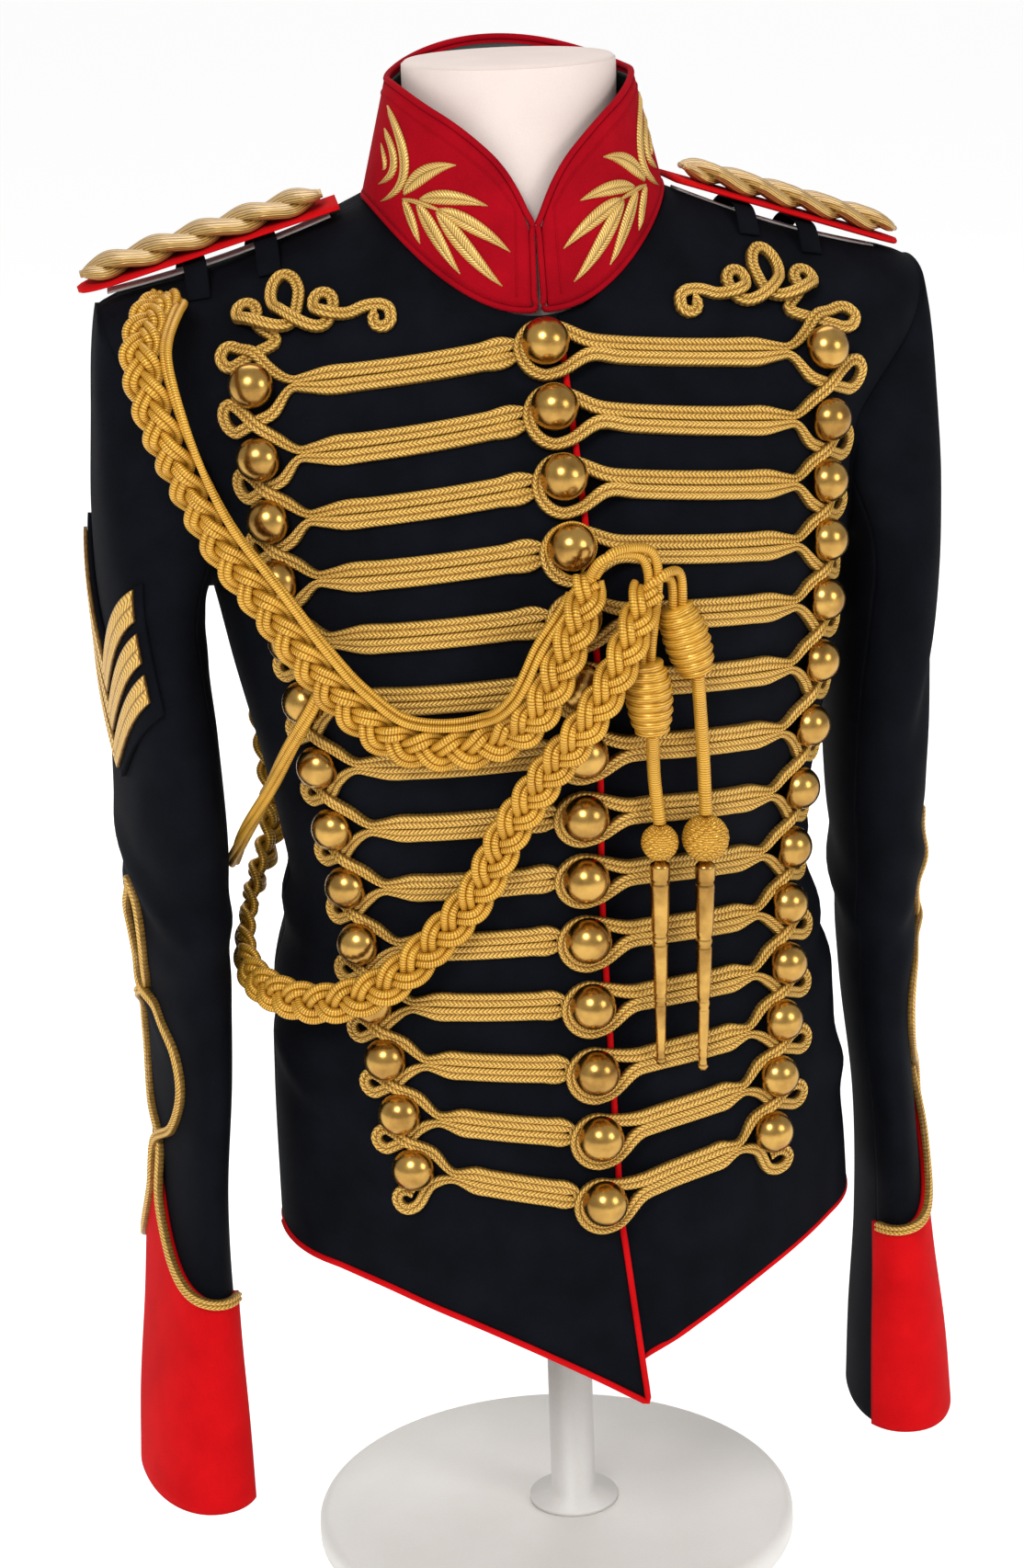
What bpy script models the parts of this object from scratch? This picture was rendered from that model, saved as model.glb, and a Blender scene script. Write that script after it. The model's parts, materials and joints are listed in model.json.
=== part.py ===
"""A full-dress military jacket with a laced chest, on a limbless dress form that stands on a round base.

The jacket faces -Y, the wearer's left is +X, up is +Z and the floor is z = 0. Sizes are in metres.
"""

import functools
import math

import bpy
import numpy as np
from mathutils import Matrix, Vector

# Cloth, felt and the spaces left between pieces
WOOL = 0.0022
FELT = 0.0014
COLLAR_WALL = 0.0022
LINING_WALL = 0.0012
SEAM = 0.0004
OVER = 0.0016

# Body of the jacket: rings from below the hem to the neckline, known by their height at the centre front
# Columns: front_z, side_z, back_z, half_width, front_y, back_y, squareness
BODY_RINGS = np.array([
    (0.100, 0.100, 0.100, 0.1575, 0.112, 0.105, 2.30),
    (0.220, 0.220, 0.220, 0.1570, 0.110, 0.102, 2.30),
    (0.300, 0.300, 0.300, 0.1545, 0.106, 0.097, 2.30),
    (0.350, 0.350, 0.350, 0.1500, 0.103, 0.091, 2.30),
    (0.405, 0.405, 0.405, 0.1400, 0.101, 0.087, 2.30),
    (0.460, 0.460, 0.460, 0.1470, 0.110, 0.097, 2.30),
    (0.520, 0.520, 0.520, 0.1590, 0.119, 0.108, 2.30),
    (0.565, 0.565, 0.567, 0.1670, 0.117, 0.113, 2.30),
    (0.622, 0.634, 0.645, 0.1840, 0.101, 0.110, 2.25),
    (0.668, 0.711, 0.714, 0.2120, 0.079, 0.090, 2.10),
    (0.690, 0.730, 0.746, 0.1450, 0.0685, 0.071, 2.00),
    (0.704, 0.757, 0.772, 0.0765, 0.0650, 0.060, 2.00),
])
RING_SAMPLES = 241
PROBE = 0.0006
NEWTON_STEPS = 12
NECK = 0.704
LEAN = 0.0220
LEAN_FROM = 0.690
SIDE_BACK = 0.0150

# Edges of the cut pieces
LAP = 0.0085
LAP_TIP = 0.0180
UNDERLAP = 0.0105
UNDER = 0.0036
UNDER_FROM = 0.0225
UNDER_END = 0.036
HEM_LEVEL = 0.235
HEM_SIDE = 0.205
HEM_DROP = 0.078
HEM_REACH = 0.150
HEM_BACK_DIP = 0.012
ARM_LOW = 0.565
ARM_TOP = 0.668
ARM_FRONT = 0.060
ARM_BACK = 0.058

# Sleeves: columns along, x, y, z, half_width, half_depth, tilt in degrees
SLEEVE_RINGS = np.array([
    (0.000, 0.1905, 0.015, 0.6360, 0.0770, 0.060, 75.0),
    (0.030, 0.1945, 0.015, 0.6080, 0.0520, 0.068, 64.0),
    (0.065, 0.1965, 0.015, 0.5740, 0.0380, 0.071, 46.0),
    (0.105, 0.1960, 0.015, 0.5350, 0.0285, 0.072, 22.0),
    (0.150, 0.1940, 0.015, 0.4900, 0.0260, 0.070, 7.0),
    (0.210, 0.1935, 0.013, 0.4300, 0.0260, 0.066, 0.0),
    (0.270, 0.1925, 0.011, 0.3700, 0.0222, 0.062, 0.0),
    (0.340, 0.1915, 0.008, 0.3000, 0.0172, 0.058, 0.0),
    (0.405, 0.1960, 0.005, 0.2350, 0.0156, 0.056, 0.0),
    (0.480, 0.1990, 0.002, 0.1600, 0.0192, 0.055, 0.0),
    (0.540, 0.2005, 0.001, 0.1000, 0.0250, 0.055, 0.0),
    (0.580, 0.2010, 0.000, 0.0600, 0.0272, 0.055, 0.0),
])
SLEEVE_END = 0.580
SLEEVE_TOE_DEG = 8.0
SLEEVE_TOE_FROM = 0.050
SLEEVE_TOE_OVER = 0.200
SLEEVE_SQUARE = 2.2
SLEEVE_FADE = 0.085
ARMHOLE_STEP = 0.0022
FRONT_SEAM = 0.330
BACK_SEAM = 0.270
CUFF_LOW = 0.458
CUFF_POINT = 0.395
CUFF_CURVE = 2.3

# Standing collar
COLLAR_RAISE = 0.0058
COLLAR_GAP_DEG = 4.3
COLLAR_COLUMNS = 21
COLLAR_TOP_HALF = 0.0635
COLLAR_TOP_FRONT = 0.0600
COLLAR_TOP_BACK = 0.0560
COLLAR_TOP_Z = (0.786, 0.815, 0.829)
COLLAR_ROUND_DEG = 46.0
COLLAR_ROUND_DROP = 0.030
PIPING = 0.0017
PIPING_SET = 0.0000
CORNER_REACH = 1.5

# Chest lacing: fourteen rows of two braids, each row on one outer and one front button
ROWS = 14
# Columns: row, height of the front button, height and distance of the outer button from the centre front
ROW_TABLE = np.array([
    (0.0, 0.6905, 0.6600, 0.1490),
    (4.0, 0.5625, 0.5515, 0.1450),
    (8.0, 0.4240, 0.4170, 0.1225),
    (13.0, 0.2455, 0.2670, 0.0965),
])
BRAID = 0.0062
BRAID_WALL = 0.0022
BRAID_APART = 0.0034
NECK_BACK = 0.0215
NECK_APART = 0.0026
NECK_BRAID = 0.0046
CROSS_LIFT = 0.0027
LOOP = 0.0138
LOOP_LIFT = 0.0020
TURN_AT = 0.0195
# Columns: out, up, from the middle between two outer buttons; the second half mirrors the first
EYELET = np.array([(-0.0006, 0.0006), (0.0088, -0.0066)])
EYELET_TIP = 0.0158
PASS_IN = 0.0088
PASS_BY = 0.0088
SCROLL_DROP = 0.0320
SCROLL_IN = 0.0040
LAST_DROP = 0.0280
STRAND_NODES = 6
TURN_APART = 0.0026
TURN_BRAID = 0.0048
# Columns: out, up, half_width, half_height of the scroll's loops, from the first outer button
SCROLL_LOOPS = np.array([
    (0.0010, 0.0390, 0.0052, 0.0054),
    (-0.0185, 0.0470, 0.0072, 0.0110),
    (-0.0375, 0.0405, 0.0052, 0.0056),
])
# Columns: out, up, of the scroll's tail and its curl
SCROLL_TAIL = np.array([
    (-0.0500, 0.0345), (-0.0580, 0.0370), (-0.0660, 0.0375),
    (-0.0720, 0.0310), (-0.0665, 0.0245), (-0.0600, 0.0275),
])

# Buttons
FRONT_BALL = 0.0120
BALL_MIDDLE = 0.0096
OUTER_BALL = 0.0113
OUTER_SHANK = 0.0040
SHANK_SUNK = -0.0019
DOME_FOOT = 0.0058
DOME_HIGH = 0.0105
OUTER_STEPS = 6
SHANK = 0.0034
BUTTON_FOOT = 0.0006
BUTTON_STEPS = 7

# Shoulder cords, their boards and bridles
# Columns: distance from the centre, distance back and height of its inner end, then of its outer end
BOARDS = {
    -1: np.array([(0.090, 0.003, 0.7570), (0.223, 0.014, 0.7190)]),
    1: np.array([(0.082, 0.003, 0.7605), (0.206, 0.014, 0.7185)]),
}
BOARD_HALF = 0.0205
BOARD_WALL = 0.0030
ROPE_HALF = 0.0185
ROPE_HIGH = 0.0046
ROPE_TURNS = 5.0
ROPE_LOBE = 0.16
BRIDLES_AT = (0.30, 0.57)
BRIDLE = 0.012
BRIDLE_WALL = 0.0015
BRIDLE_FOOT = 0.0300
BRIDLE_OVER = {-1: (0.0014, 0.0003), 1: (0.0007, 0.0005)}

# Sleeve badge and sleeve braid
CHEVRON_MIDDLE = 0.028
CHEVRON_TOP = 0.072
CHEVRON_PITCH = 0.0187
CHEVRON_TALL = 0.0135
CHEVRON_REACH = 0.050
CHEVRON_FALL = 0.046
BADGE_MARGIN = 0.005
BADGE_WALL = 0.0008
STRIPE_WALL = 0.0014
STRIPE_OVER = 0.0011
SLEEVE_OVER = 0.0019
CUFF_BRAID = 0.0054
# Columns: around to the front, along the sleeve; the path of the knot from the cuff's point to its top
KNOT = np.array([
    (0.0000, 0.3830), (-0.0250, 0.3670), (-0.0390, 0.3410), (-0.0340, 0.3160),
    (-0.0150, 0.3020), (0.0000, 0.2950), (0.0115, 0.2810), (0.0125, 0.2560),
])
KNOT_TOP = 0.2350

# Aiguillette on the wearer's right; route columns: ring height, distance to the right, distance out
PLAIT_HALF = 0.0112
PLAIT_HIGH = 0.0062
PLAIT_END = 0.80
PLAIT_STEP = 0.0165
FRONT_ROUTE = np.array([
    (0.6770, 0.1975, 0.0058), (0.6680, 0.1970, 0.0230), (0.6590, 0.1915, 0.0400), (0.6490, 0.1790, 0.0450), (0.6330, 0.1660, 0.0420),
    (0.6000, 0.1550, 0.0360), (0.5730, 0.1395, 0.0300), (0.5475, 0.1250, 0.0245), (0.5230, 0.1100, 0.0165),
    (0.5060, 0.0900, 0.0135), (0.5020, 0.0610, 0.0130), (0.5070, 0.0420, 0.0160), (0.5220, 0.0260, 0.0290),
    (0.5450, 0.0130, 0.0300), (0.5660, 0.0020, 0.0290), (0.5800, -0.0040, 0.0270),
])
UNDER_ROUTE = np.array([
    (0.6600, 0.3200, 0.0082), (0.6300, 0.3270, 0.0098), (0.5850, 0.3200, 0.0110), (0.5300, 0.3000, 0.0110),
    (0.4700, 0.2700, 0.0120), (0.4180, 0.2430, 0.0160), (0.3810, 0.2190, 0.0180), (0.3590, 0.1890, 0.0205),
    (0.3550, 0.1540, 0.0235), (0.3580, 0.1230, 0.0245), (0.3720, 0.0950, 0.0225), (0.3940, 0.0740, 0.0145),
    (0.4180, 0.0560, 0.0130), (0.4580, 0.0370, 0.0130), (0.4900, 0.0200, 0.0200), (0.5150, 0.0040, 0.0295),
    (0.5350, -0.0100, 0.0295), (0.5560, -0.0220, 0.0270), (0.5740, -0.0320, 0.0220),
])
CORD = 0.0032
CORD_STEP = 0.0150
CORD_ASIDE = 0.0149
ARM_ROUTE = np.array([
    (0.5235, 0.1270, 0.0210), (0.5020, 0.1390, 0.0210), (0.4790, 0.1510, 0.0215), (0.4480, 0.1690, 0.0260),
    (0.4170, 0.1930, 0.0290),
])
# Columns: ring height, distance to the left, distance out: a knot's top and foot, then the cord's middle
HANG_1 = np.array([(0.5400, 0.0300, 0.0160), (0.5060, 0.0320, 0.0160), (0.4760, 0.0350, 0.0095)])
HANG_2 = np.array([(0.5640, 0.0470, 0.0144), (0.5320, 0.0560, 0.0144), (0.4860, 0.0605, 0.0095)])
# Columns: ring height and distance to the left of a ball's middle, then of a tag's foot
HANG_ENDS = np.array([(0.4440, 0.0360, 0.3190, 0.0330), (0.4440, 0.0585, 0.3120, 0.0550)])
REST = 0.0046
TAG_OUT = 0.0100
HANG_BALLS = (0.0095, 0.0120)
KNOT_BARREL = 0.0098
KNOT_SPACE = 0.0018
HANG_CORD = 0.0034
TAG_TOP = 0.0052
TAG_END = 0.0036

# Dress form
FORM_BOTTOM = 0.212
# Columns: ring height, distance inside the cloth's outer face; the jacket rests on the shoulders
FORM_RINGS = np.array([
    (0.212, 0.0100), (0.270, 0.0100), (0.330, 0.0100), (0.375, 0.0100), (0.420, 0.0100), (0.470, 0.0100),
    (0.530, 0.0100), (0.590, 0.0095), (0.635, 0.0070), (0.664, 0.0066), (0.676, 0.0053), (0.688, 0.0063),
])
FORM_SIDES = 20
FORM_FRONT_EXTRA = 0.0042
FORM_FRONT_WIDE = 0.055
FORM_NECK_HALF = 0.0545
FORM_NECK_DEEP = 0.0500
FORM_NECK_FOOT = 1.06
FORM_NECK_BELOW = 0.0045
FORM_NECK_TOP = 0.826
POLE = 0.0125
BASE = 0.135
BASE_WALL = 0.014

COLLECTION = "full_dress_jacket"
CUTTERS = "outer_buttons_to_join"


def curve_row(table, at):
    """One row of a table, read at a value of its first column on a smooth curve through its rows."""
    knots = table[:, 0]
    slopes = np.gradient(table, knots, axis=0)
    i = int(np.clip(np.searchsorted(knots, at) - 1, 0, len(knots) - 2))
    span = knots[i + 1] - knots[i]
    t = (at - knots[i]) / span
    return (
        table[i] * (1 + 2 * t) * (1 - t) ** 2
        + table[i + 1] * t * t * (3 - 2 * t)
        + span * slopes[i] * t * (1 - t) ** 2
        - span * slopes[i + 1] * t * t * (1 - t)
    )


def unit(vector):
    """The vector at length one."""
    return vector / np.linalg.norm(vector)


def ease(t):
    """A smooth step from 0 to 1."""
    t = min(max(t, 0.0), 1.0)
    return t * t * (3 - 2 * t)


@functools.lru_cache(maxsize=None)
def body_ring(h):
    """Half a ring of the body from centre front to centre back, with its running length."""
    front_z, side_z, back_z, half, front, back, square = curve_row(BODY_RINGS, h)
    turn = np.linspace(0.0, math.pi, RING_SAMPLES)
    cosine = np.cos(turn)
    ahead = np.abs(cosine) ** (2.0 / square)
    x = half * np.abs(np.sin(turn)) ** (2.0 / square)
    middle = SIDE_BACK * ease((h - 0.48) / 0.14) * (1 - ease((h - 0.674) / 0.028))
    y = middle + np.where(cosine > 0, -(front + middle) * ahead, (back - middle) * ahead)
    z = side_z + np.where(cosine > 0, front_z - side_z, back_z - side_z) * cosine ** 2
    points = np.column_stack([x, y, z])
    length = np.concatenate([[0.0], np.cumsum(np.linalg.norm(np.diff(points, axis=0), axis=1))])
    return points, length


def quarter(h):
    """Distance along a ring from the centre front to the side."""
    return float(body_ring(round(h, 6))[1][RING_SAMPLES // 2])


def half_round(h):
    """Distance along a ring from the centre front to the centre back."""
    return float(body_ring(round(h, 6))[1][-1])


def body_spot(h, d):
    """Point of the body's cloth at a ring and a signed distance from the centre front."""
    points, length = body_ring(round(h, 6))
    along, sign = abs(d), math.copysign(1.0, d)
    if along > length[-1]:
        along, sign = 2 * length[-1] - along, -sign
    spot = np.array([np.interp(along, length, points[:, k]) for k in range(3)])
    spot[0] *= sign
    spot[0] += LEAN * max(0.0, LEAN_FROM - spot[2])
    return spot


def body_frame(side, h, d):
    """Point and outward normal of the body's cloth; d runs from the centre front towards that side."""
    across = body_spot(h, side * d + PROBE) - body_spot(h, side * d - PROBE)
    up = body_spot(h + PROBE, side * d) - body_spot(h - PROBE, side * d)
    return body_spot(h, side * d), unit(np.cross(across, up))


def on_body(side, h, d, out=0.0):
    """Point at a distance outside the body's cloth."""
    spot, normal = body_frame(side, h, d)
    return spot + normal * out


def hem(d):
    """Height of the fronts' hem at a distance from the centre front."""
    u = min(1.0, (d + LAP_TIP) / (HEM_REACH + LAP_TIP))
    return HEM_SIDE - HEM_DROP * (1 - u) ** 1.5


def lap(h):
    """How far the right front reaches past the centre front."""
    below = max(0.0, (HEM_LEVEL - h) / (HEM_LEVEL - HEM_SIDE + HEM_DROP))
    return LAP + (LAP_TIP - LAP) * below


def underlap(h):
    """How far the left front reaches past the centre front."""
    return UNDERLAP


def arm_open(h):
    """How far open the armhole is at a ring, from 0 to 1."""
    u = (h - 0.5 * (ARM_LOW + ARM_TOP)) / (0.5 * (ARM_TOP - ARM_LOW))
    return math.sqrt(max(0.0, 1 - u * u))


def front_edge(h):
    """Distance from the centre front to the side seam, the armhole or the shoulder seam."""
    return quarter(h) - ARM_FRONT * arm_open(h) - SEAM / 2


def back_edge(h):
    """The same distance to the back's edge."""
    return quarter(h) + ARM_BACK * arm_open(h) + SEAM / 2


def panel_heights():
    """Rings of a panel above the hem."""
    middle, half = 0.5 * (ARM_LOW + ARM_TOP), 0.5 * (ARM_TOP - ARM_LOW)
    return np.concatenate([
        np.linspace(HEM_LEVEL, ARM_LOW, 12),
        middle - half * np.cos(np.linspace(0.0, math.pi, 8))[1:],
        np.linspace(ARM_TOP, NECK, 3)[1:],
    ])


def front_grid(side, reach, inset, out):
    """Grid of a front: from its edge past the centre to its seams, and from the hem to the neckline."""
    shares = np.linspace(0.0, 1.0, 10)
    bottom = [f * front_edge(HEM_SIDE) - (1 - f) * reach(HEM_SIDE - HEM_DROP) for f in shares]
    level = [f * front_edge(HEM_LEVEL) - (1 - f) * reach(HEM_LEVEL) for f in shares]
    rows = []
    for q in (0.0, 0.5):
        rows.append([(hem(a) + (HEM_LEVEL - hem(a)) * q, a + (b - a) * q) for a, b in zip(bottom, level)])
    for h in panel_heights():
        rows.append([(h, f * front_edge(h) - (1 - f) * reach(h)) for f in shares])
    return np.array([[on_body(side, h, d, inset(d) + out) for h, d in row] for row in rows])


def back_grid(out):
    """Grid of the back, from one side seam across the centre to the other."""
    shares = np.linspace(-1.0, 1.0, 13)
    rows = []
    for q in (0.0, 0.5):
        row = []
        for f in shares:
            low = HEM_SIDE - HEM_BACK_DIP * (1 - f * f)
            row.append((low + (HEM_LEVEL - low) * q, f))
        rows.append(row)
    for h in panel_heights():
        rows.append([(h, f) for f in shares])
    grid = []
    for row in rows:
        line = []
        for h, f in row:
            far = half_round(h)
            reach = far - abs(f) * (far - back_edge(h))
            line.append(on_body(-1 if f > 0 else 1, h, reach, out))
        grid.append(line)
    return np.array(grid)


def under_right(d):
    """How far the left front is set in where the right front lies on it."""
    return -UNDER * (1 - ease((d - UNDER_FROM) / (UNDER_END - UNDER_FROM)))


def armhole(side, turn):
    """Point of the armhole's edge; turn 0 is the shoulder point and a quarter turn is to the front."""
    h = 0.5 * (ARM_LOW + ARM_TOP) + 0.5 * (ARM_TOP - ARM_LOW) * math.cos(turn)
    swing = math.sin(turn)
    d = quarter(h) - (ARM_FRONT if swing > 0 else ARM_BACK) * swing
    return on_body(side, h, d)


def sleeve_oval(side, q, turns):
    """Oval section of a sleeve before it is drawn to the armhole."""
    _, x, y, z, wide, deep, tilt = curve_row(SLEEVE_RINGS, q)
    tilt = math.radians(tilt)
    power = 2.0 / SLEEVE_SQUARE
    u = wide * np.sign(np.cos(turns)) * np.abs(np.cos(turns)) ** power
    v = deep * np.sign(np.sin(turns)) * np.abs(np.sin(turns)) ** power
    toe = math.radians(SLEEVE_TOE_DEG) * ease((q - SLEEVE_TOE_FROM) / SLEEVE_TOE_OVER)
    u, v = u * math.cos(toe) - v * math.sin(toe), v * math.cos(toe) + u * math.sin(toe)
    return np.column_stack([side * (x + u * math.cos(tilt)), y - v, z + u * math.sin(tilt)])


@functools.lru_cache(maxsize=None)
def armhole_shift(side):
    """How far each point of the sleeve's first oval is moved to lie on the armhole."""
    turns = np.linspace(0.0, 2 * math.pi, RING_SAMPLES)
    edge = np.array([armhole(side, t) for t in turns])
    return edge + np.array([side * ARMHOLE_STEP, 0.0, 0.0]) - sleeve_oval(side, 0.0, turns)


@functools.lru_cache(maxsize=None)
def sleeve_ring(side, q):
    """Ring of a sleeve from its outer line round by the front, with its running length."""
    turns = np.linspace(0.0, 2 * math.pi, RING_SAMPLES)
    points = sleeve_oval(side, q, turns) + armhole_shift(side) * (1 - ease(q / SLEEVE_FADE))
    length = np.concatenate([[0.0], np.cumsum(np.linalg.norm(np.diff(points, axis=0), axis=1))])
    return points, length


def sleeve_round(side, q):
    """Length around a sleeve."""
    return float(sleeve_ring(side, round(q, 6))[1][-1])


def sleeve_spot(side, q, a):
    """Point of a sleeve's cloth, a distance round to the front from its outer line."""
    points, length = sleeve_ring(side, round(q, 6))
    along = a % length[-1]
    return np.array([np.interp(along, length, points[:, k]) for k in range(3)])


def sleeve_frame(side, q, a):
    """Point and outward normal of a sleeve's cloth."""
    round_ = sleeve_spot(side, q, a + PROBE) - sleeve_spot(side, q, a - PROBE)
    down = sleeve_spot(side, q + PROBE, a) - sleeve_spot(side, q - PROBE, a)
    return sleeve_spot(side, q, a), unit(np.cross(round_, down)) * side


def on_sleeve(side, q, a, out=0.0):
    """Point at a distance outside a sleeve's cloth."""
    spot, normal = sleeve_frame(side, q, a)
    return spot + normal * out


def sleeve_grid(side, low, high, stations, columns, out):
    """Grid of a sleeve piece between two seams, given as shares of the round."""
    rows = []
    for q in stations:
        whole = sleeve_round(side, q)
        start, stop = low * whole + SEAM, high * whole - SEAM
        rows.append([on_sleeve(side, q, a, out) for a in np.linspace(start, stop, columns)])
    return np.array(rows)[::side]


def cuff_edge(share):
    """Place along the sleeve of the cuff's upper edge; share 0 is its point and 1 a seam."""
    return CUFF_LOW - (CUFF_LOW - CUFF_POINT) * (1 - share) ** CUFF_CURVE


def cuff_grid(side, out):
    """Grid of the cuff's facing on the outer sleeve, rising to a point on the outer line."""
    shares = np.linspace(-1.0, 1.0, 13)
    rows = []
    for level in np.linspace(0.0, 1.0, 3):
        line = []
        for f in shares:
            q = SLEEVE_END + (cuff_edge(abs(f)) - SLEEVE_END) * level
            seam = (FRONT_SEAM if f > 0 else BACK_SEAM) * sleeve_round(side, q) - SEAM
            line.append(on_sleeve(side, q, f * seam, SLEEVE_OVER + out))
        rows.append(line)
    return np.array(rows)[::-side]


def collar_spot(turn, level, out=0.0):
    """Point of the collar; turn 0 is the centre front and level runs from 0 at its seam to 1 at its edge."""
    front_z, side_z, back_z, half, front, back, _ = BODY_RINGS[-1]
    ahead = math.cos(turn)
    low = side_z + ((front_z if ahead > 0 else back_z) - side_z) * ahead * ahead + COLLAR_RAISE
    top_front, top_side, top_back = COLLAR_TOP_Z
    high = top_side + ((top_front if ahead > 0 else top_back) - top_side) * ahead * ahead
    swing = math.degrees(min(turn, 2 * math.pi - turn))
    high -= COLLAR_ROUND_DROP * max(0.0, 1 - swing / COLLAR_ROUND_DEG) ** 2.2
    wide = half + (COLLAR_TOP_HALF - half) * level
    deep_low = front if ahead > 0 else back
    deep_high = COLLAR_TOP_FRONT if ahead > 0 else COLLAR_TOP_BACK
    deep = deep_low + (deep_high - deep_low) * level
    return np.array([
        (wide + out) * math.sin(turn),
        -(deep + out) * ahead,
        low + (high - low) * level,
    ])


def collar_grid(out, levels=(0.0, 0.5, 1.0)):
    """Grid of the collar from one front edge round the back to the other."""
    start = math.radians(COLLAR_GAP_DEG)
    share = np.linspace(-1.0, 1.0, COLLAR_COLUMNS)
    turns = math.pi + (math.pi - start) * np.sign(share) * np.abs(share) ** 0.85
    return np.array([[collar_spot(t, level, out) for t in turns] for level in levels])


def spline(nodes, step):
    """Rows at about one step along a smooth curve through nodes whose first three columns are a point."""
    nodes = np.asarray(nodes, float)
    gaps = np.linalg.norm(np.diff(nodes[:, :3], axis=0), axis=1)
    knots = np.concatenate([[0.0], np.cumsum(gaps)])
    table = np.column_stack([knots, nodes])
    count = max(2, int(round(knots[-1] / step)))
    return np.array([curve_row(table, k)[1:] for k in np.linspace(0.0, knots[-1], count + 1)])


def row_at(row):
    """Height of a row's front button, then height and distance of its outer button."""
    return curve_row(ROW_TABLE, min(max(row, 0.0), ROWS - 1.0))[1:]


def row_height(row, d):
    """Height of a row's middle line at a distance from the centre front."""
    centre, outer, reach = row_at(row)
    return outer + (centre - outer) * max(0.0, 1 - d / reach)


def beside_button(side, out, up):
    """Distance and ring height of a spot out and up from the first outer button, on its touching plane."""
    _, h, d = row_at(0)
    origin, normal = body_frame(side, h, d)
    rise = body_spot(h + PROBE, side * d) - body_spot(h - PROBE, side * d)
    rise = unit(rise - normal * (rise @ normal))
    plane = np.array([np.cross(rise, normal) * side, rise])
    for _ in range(NEWTON_STEPS):
        miss = np.array([out, up]) - plane @ (body_spot(h, side * d) - origin)
        by_d = plane @ (body_spot(h, side * (d + PROBE)) - body_spot(h, side * (d - PROBE)))
        by_h = plane @ (body_spot(h + PROBE, side * d) - body_spot(h - PROBE, side * d))
        step = np.linalg.solve(np.column_stack([by_d, by_h]) / (2 * PROBE), miss)
        d, h = d + step[0], min(h + step[1], NECK - 0.002)
    return d, h


def cursive_loop(out, up, wide, tall):
    """One loop of the scroll, as in running handwriting; columns out, up, lift, width."""
    return [
        (out - wide, up, 0.0, BRAID),
        (out, up + tall, 0.0, BRAID),
        (out + wide, up, 0.0, BRAID),
        (out - 0.12 * wide, up - 0.86 * tall, CROSS_LIFT, BRAID),
    ]


def eyelet(high, low, ends=2):
    """The crossed loop between two outer buttons given as (height, distance); columns d, h, lift, width."""
    middle, reach = 0.5 * (high[0] + low[0]), 0.5 * (high[1] + low[1])
    nodes = [(high[1] - PASS_IN, high[0] - PASS_BY, 0.0, BRAID)]
    nodes += [(reach + out, middle + up, 0.0, BRAID) for out, up in EYELET]
    nodes.append((reach + EYELET_TIP, middle, 0.0, BRAID))
    if ends == 2:
        lifts = (0.0, CROSS_LIFT)
        nodes += [(reach + e[0], middle - e[1], lift, BRAID) for e, lift in zip(EYELET[::-1], lifts)]
        nodes.append((low[1] - PASS_IN, low[0] + PASS_BY, 0.0, BRAID))
    return nodes


def strand(row, sign, inner_end):
    """One braid of a row from its outer neck towards the centre; columns d, h, lift, width."""
    outer = row_at(row)[2] - NECK_BACK
    nodes = []
    for share in np.linspace(0.0, 1.0, STRAND_NODES):
        d = outer + (inner_end - outer) * share
        apart = NECK_APART if share == 0.0 else BRAID_APART
        wide = NECK_BRAID if share == 0.0 else BRAID
        lift = LOOP_LIFT * ease((UNDER_END - d) / 0.012)
        nodes.append((d, row_height(row, d) + sign * apart, lift, wide))
    return nodes


def centre_turn(row, side):
    """How a row turns back at the centre: a loop round the button on the left, a close turn on the right."""
    if side > 0:
        middle = row_height(row, 0.0)
        angles = np.radians((66.0, 123.0, 180.0, 237.0, 294.0))
        return [(LOOP * math.cos(a), middle + LOOP * math.sin(a), LOOP_LIFT, BRAID) for a in angles]
    middle = row_height(row, TURN_AT)
    return [(TURN_AT, middle + s * TURN_APART, LOOP_LIFT, TURN_BRAID) for s in (1.0, -1.0)]


def lacing_nodes(side):
    """Path of one side's braid: scroll, rows, eyelets and end loop; columns d, h, lift, width."""
    inner_end = LOOP + 0.011 if side > 0 else TURN_AT + 0.004
    local = [(out, up, 0.0, BRAID) for out, up in SCROLL_TAIL[::-1]]
    for loop in SCROLL_LOOPS[::-1]:
        local += cursive_loop(*loop)[::-1]
    local += eyelet((SCROLL_DROP, -SCROLL_IN), (0.0, 0.0))
    nodes = [(*beside_button(side, out, up), lift, wide) for out, up, lift, wide in local]
    for row in range(ROWS):
        nodes += strand(row, 1.0, inner_end)
        nodes += centre_turn(row, side)
        nodes += strand(row, -1.0, inner_end)[::-1]
        _, high, reach = row_at(row)
        if row < ROWS - 1:
            _, low, low_reach = row_at(row + 1)
            nodes += eyelet((high, reach), (low, low_reach))
        else:
            nodes += eyelet((high, reach), (high - LAST_DROP, reach), 1)
    return np.array(nodes)


def braid_on_body(side, nodes):
    """Centres, outward directions and half widths of a braid that lies on the body's cloth."""
    frames = [body_frame(side, h, d) for d, h in nodes[:, :2]]
    outs = np.array([normal for _, normal in frames])
    centres = np.array([spot for spot, _ in frames]) + outs * (OVER + nodes[:, 2:3])
    return centres, outs, nodes[:, 3] / 2


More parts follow.
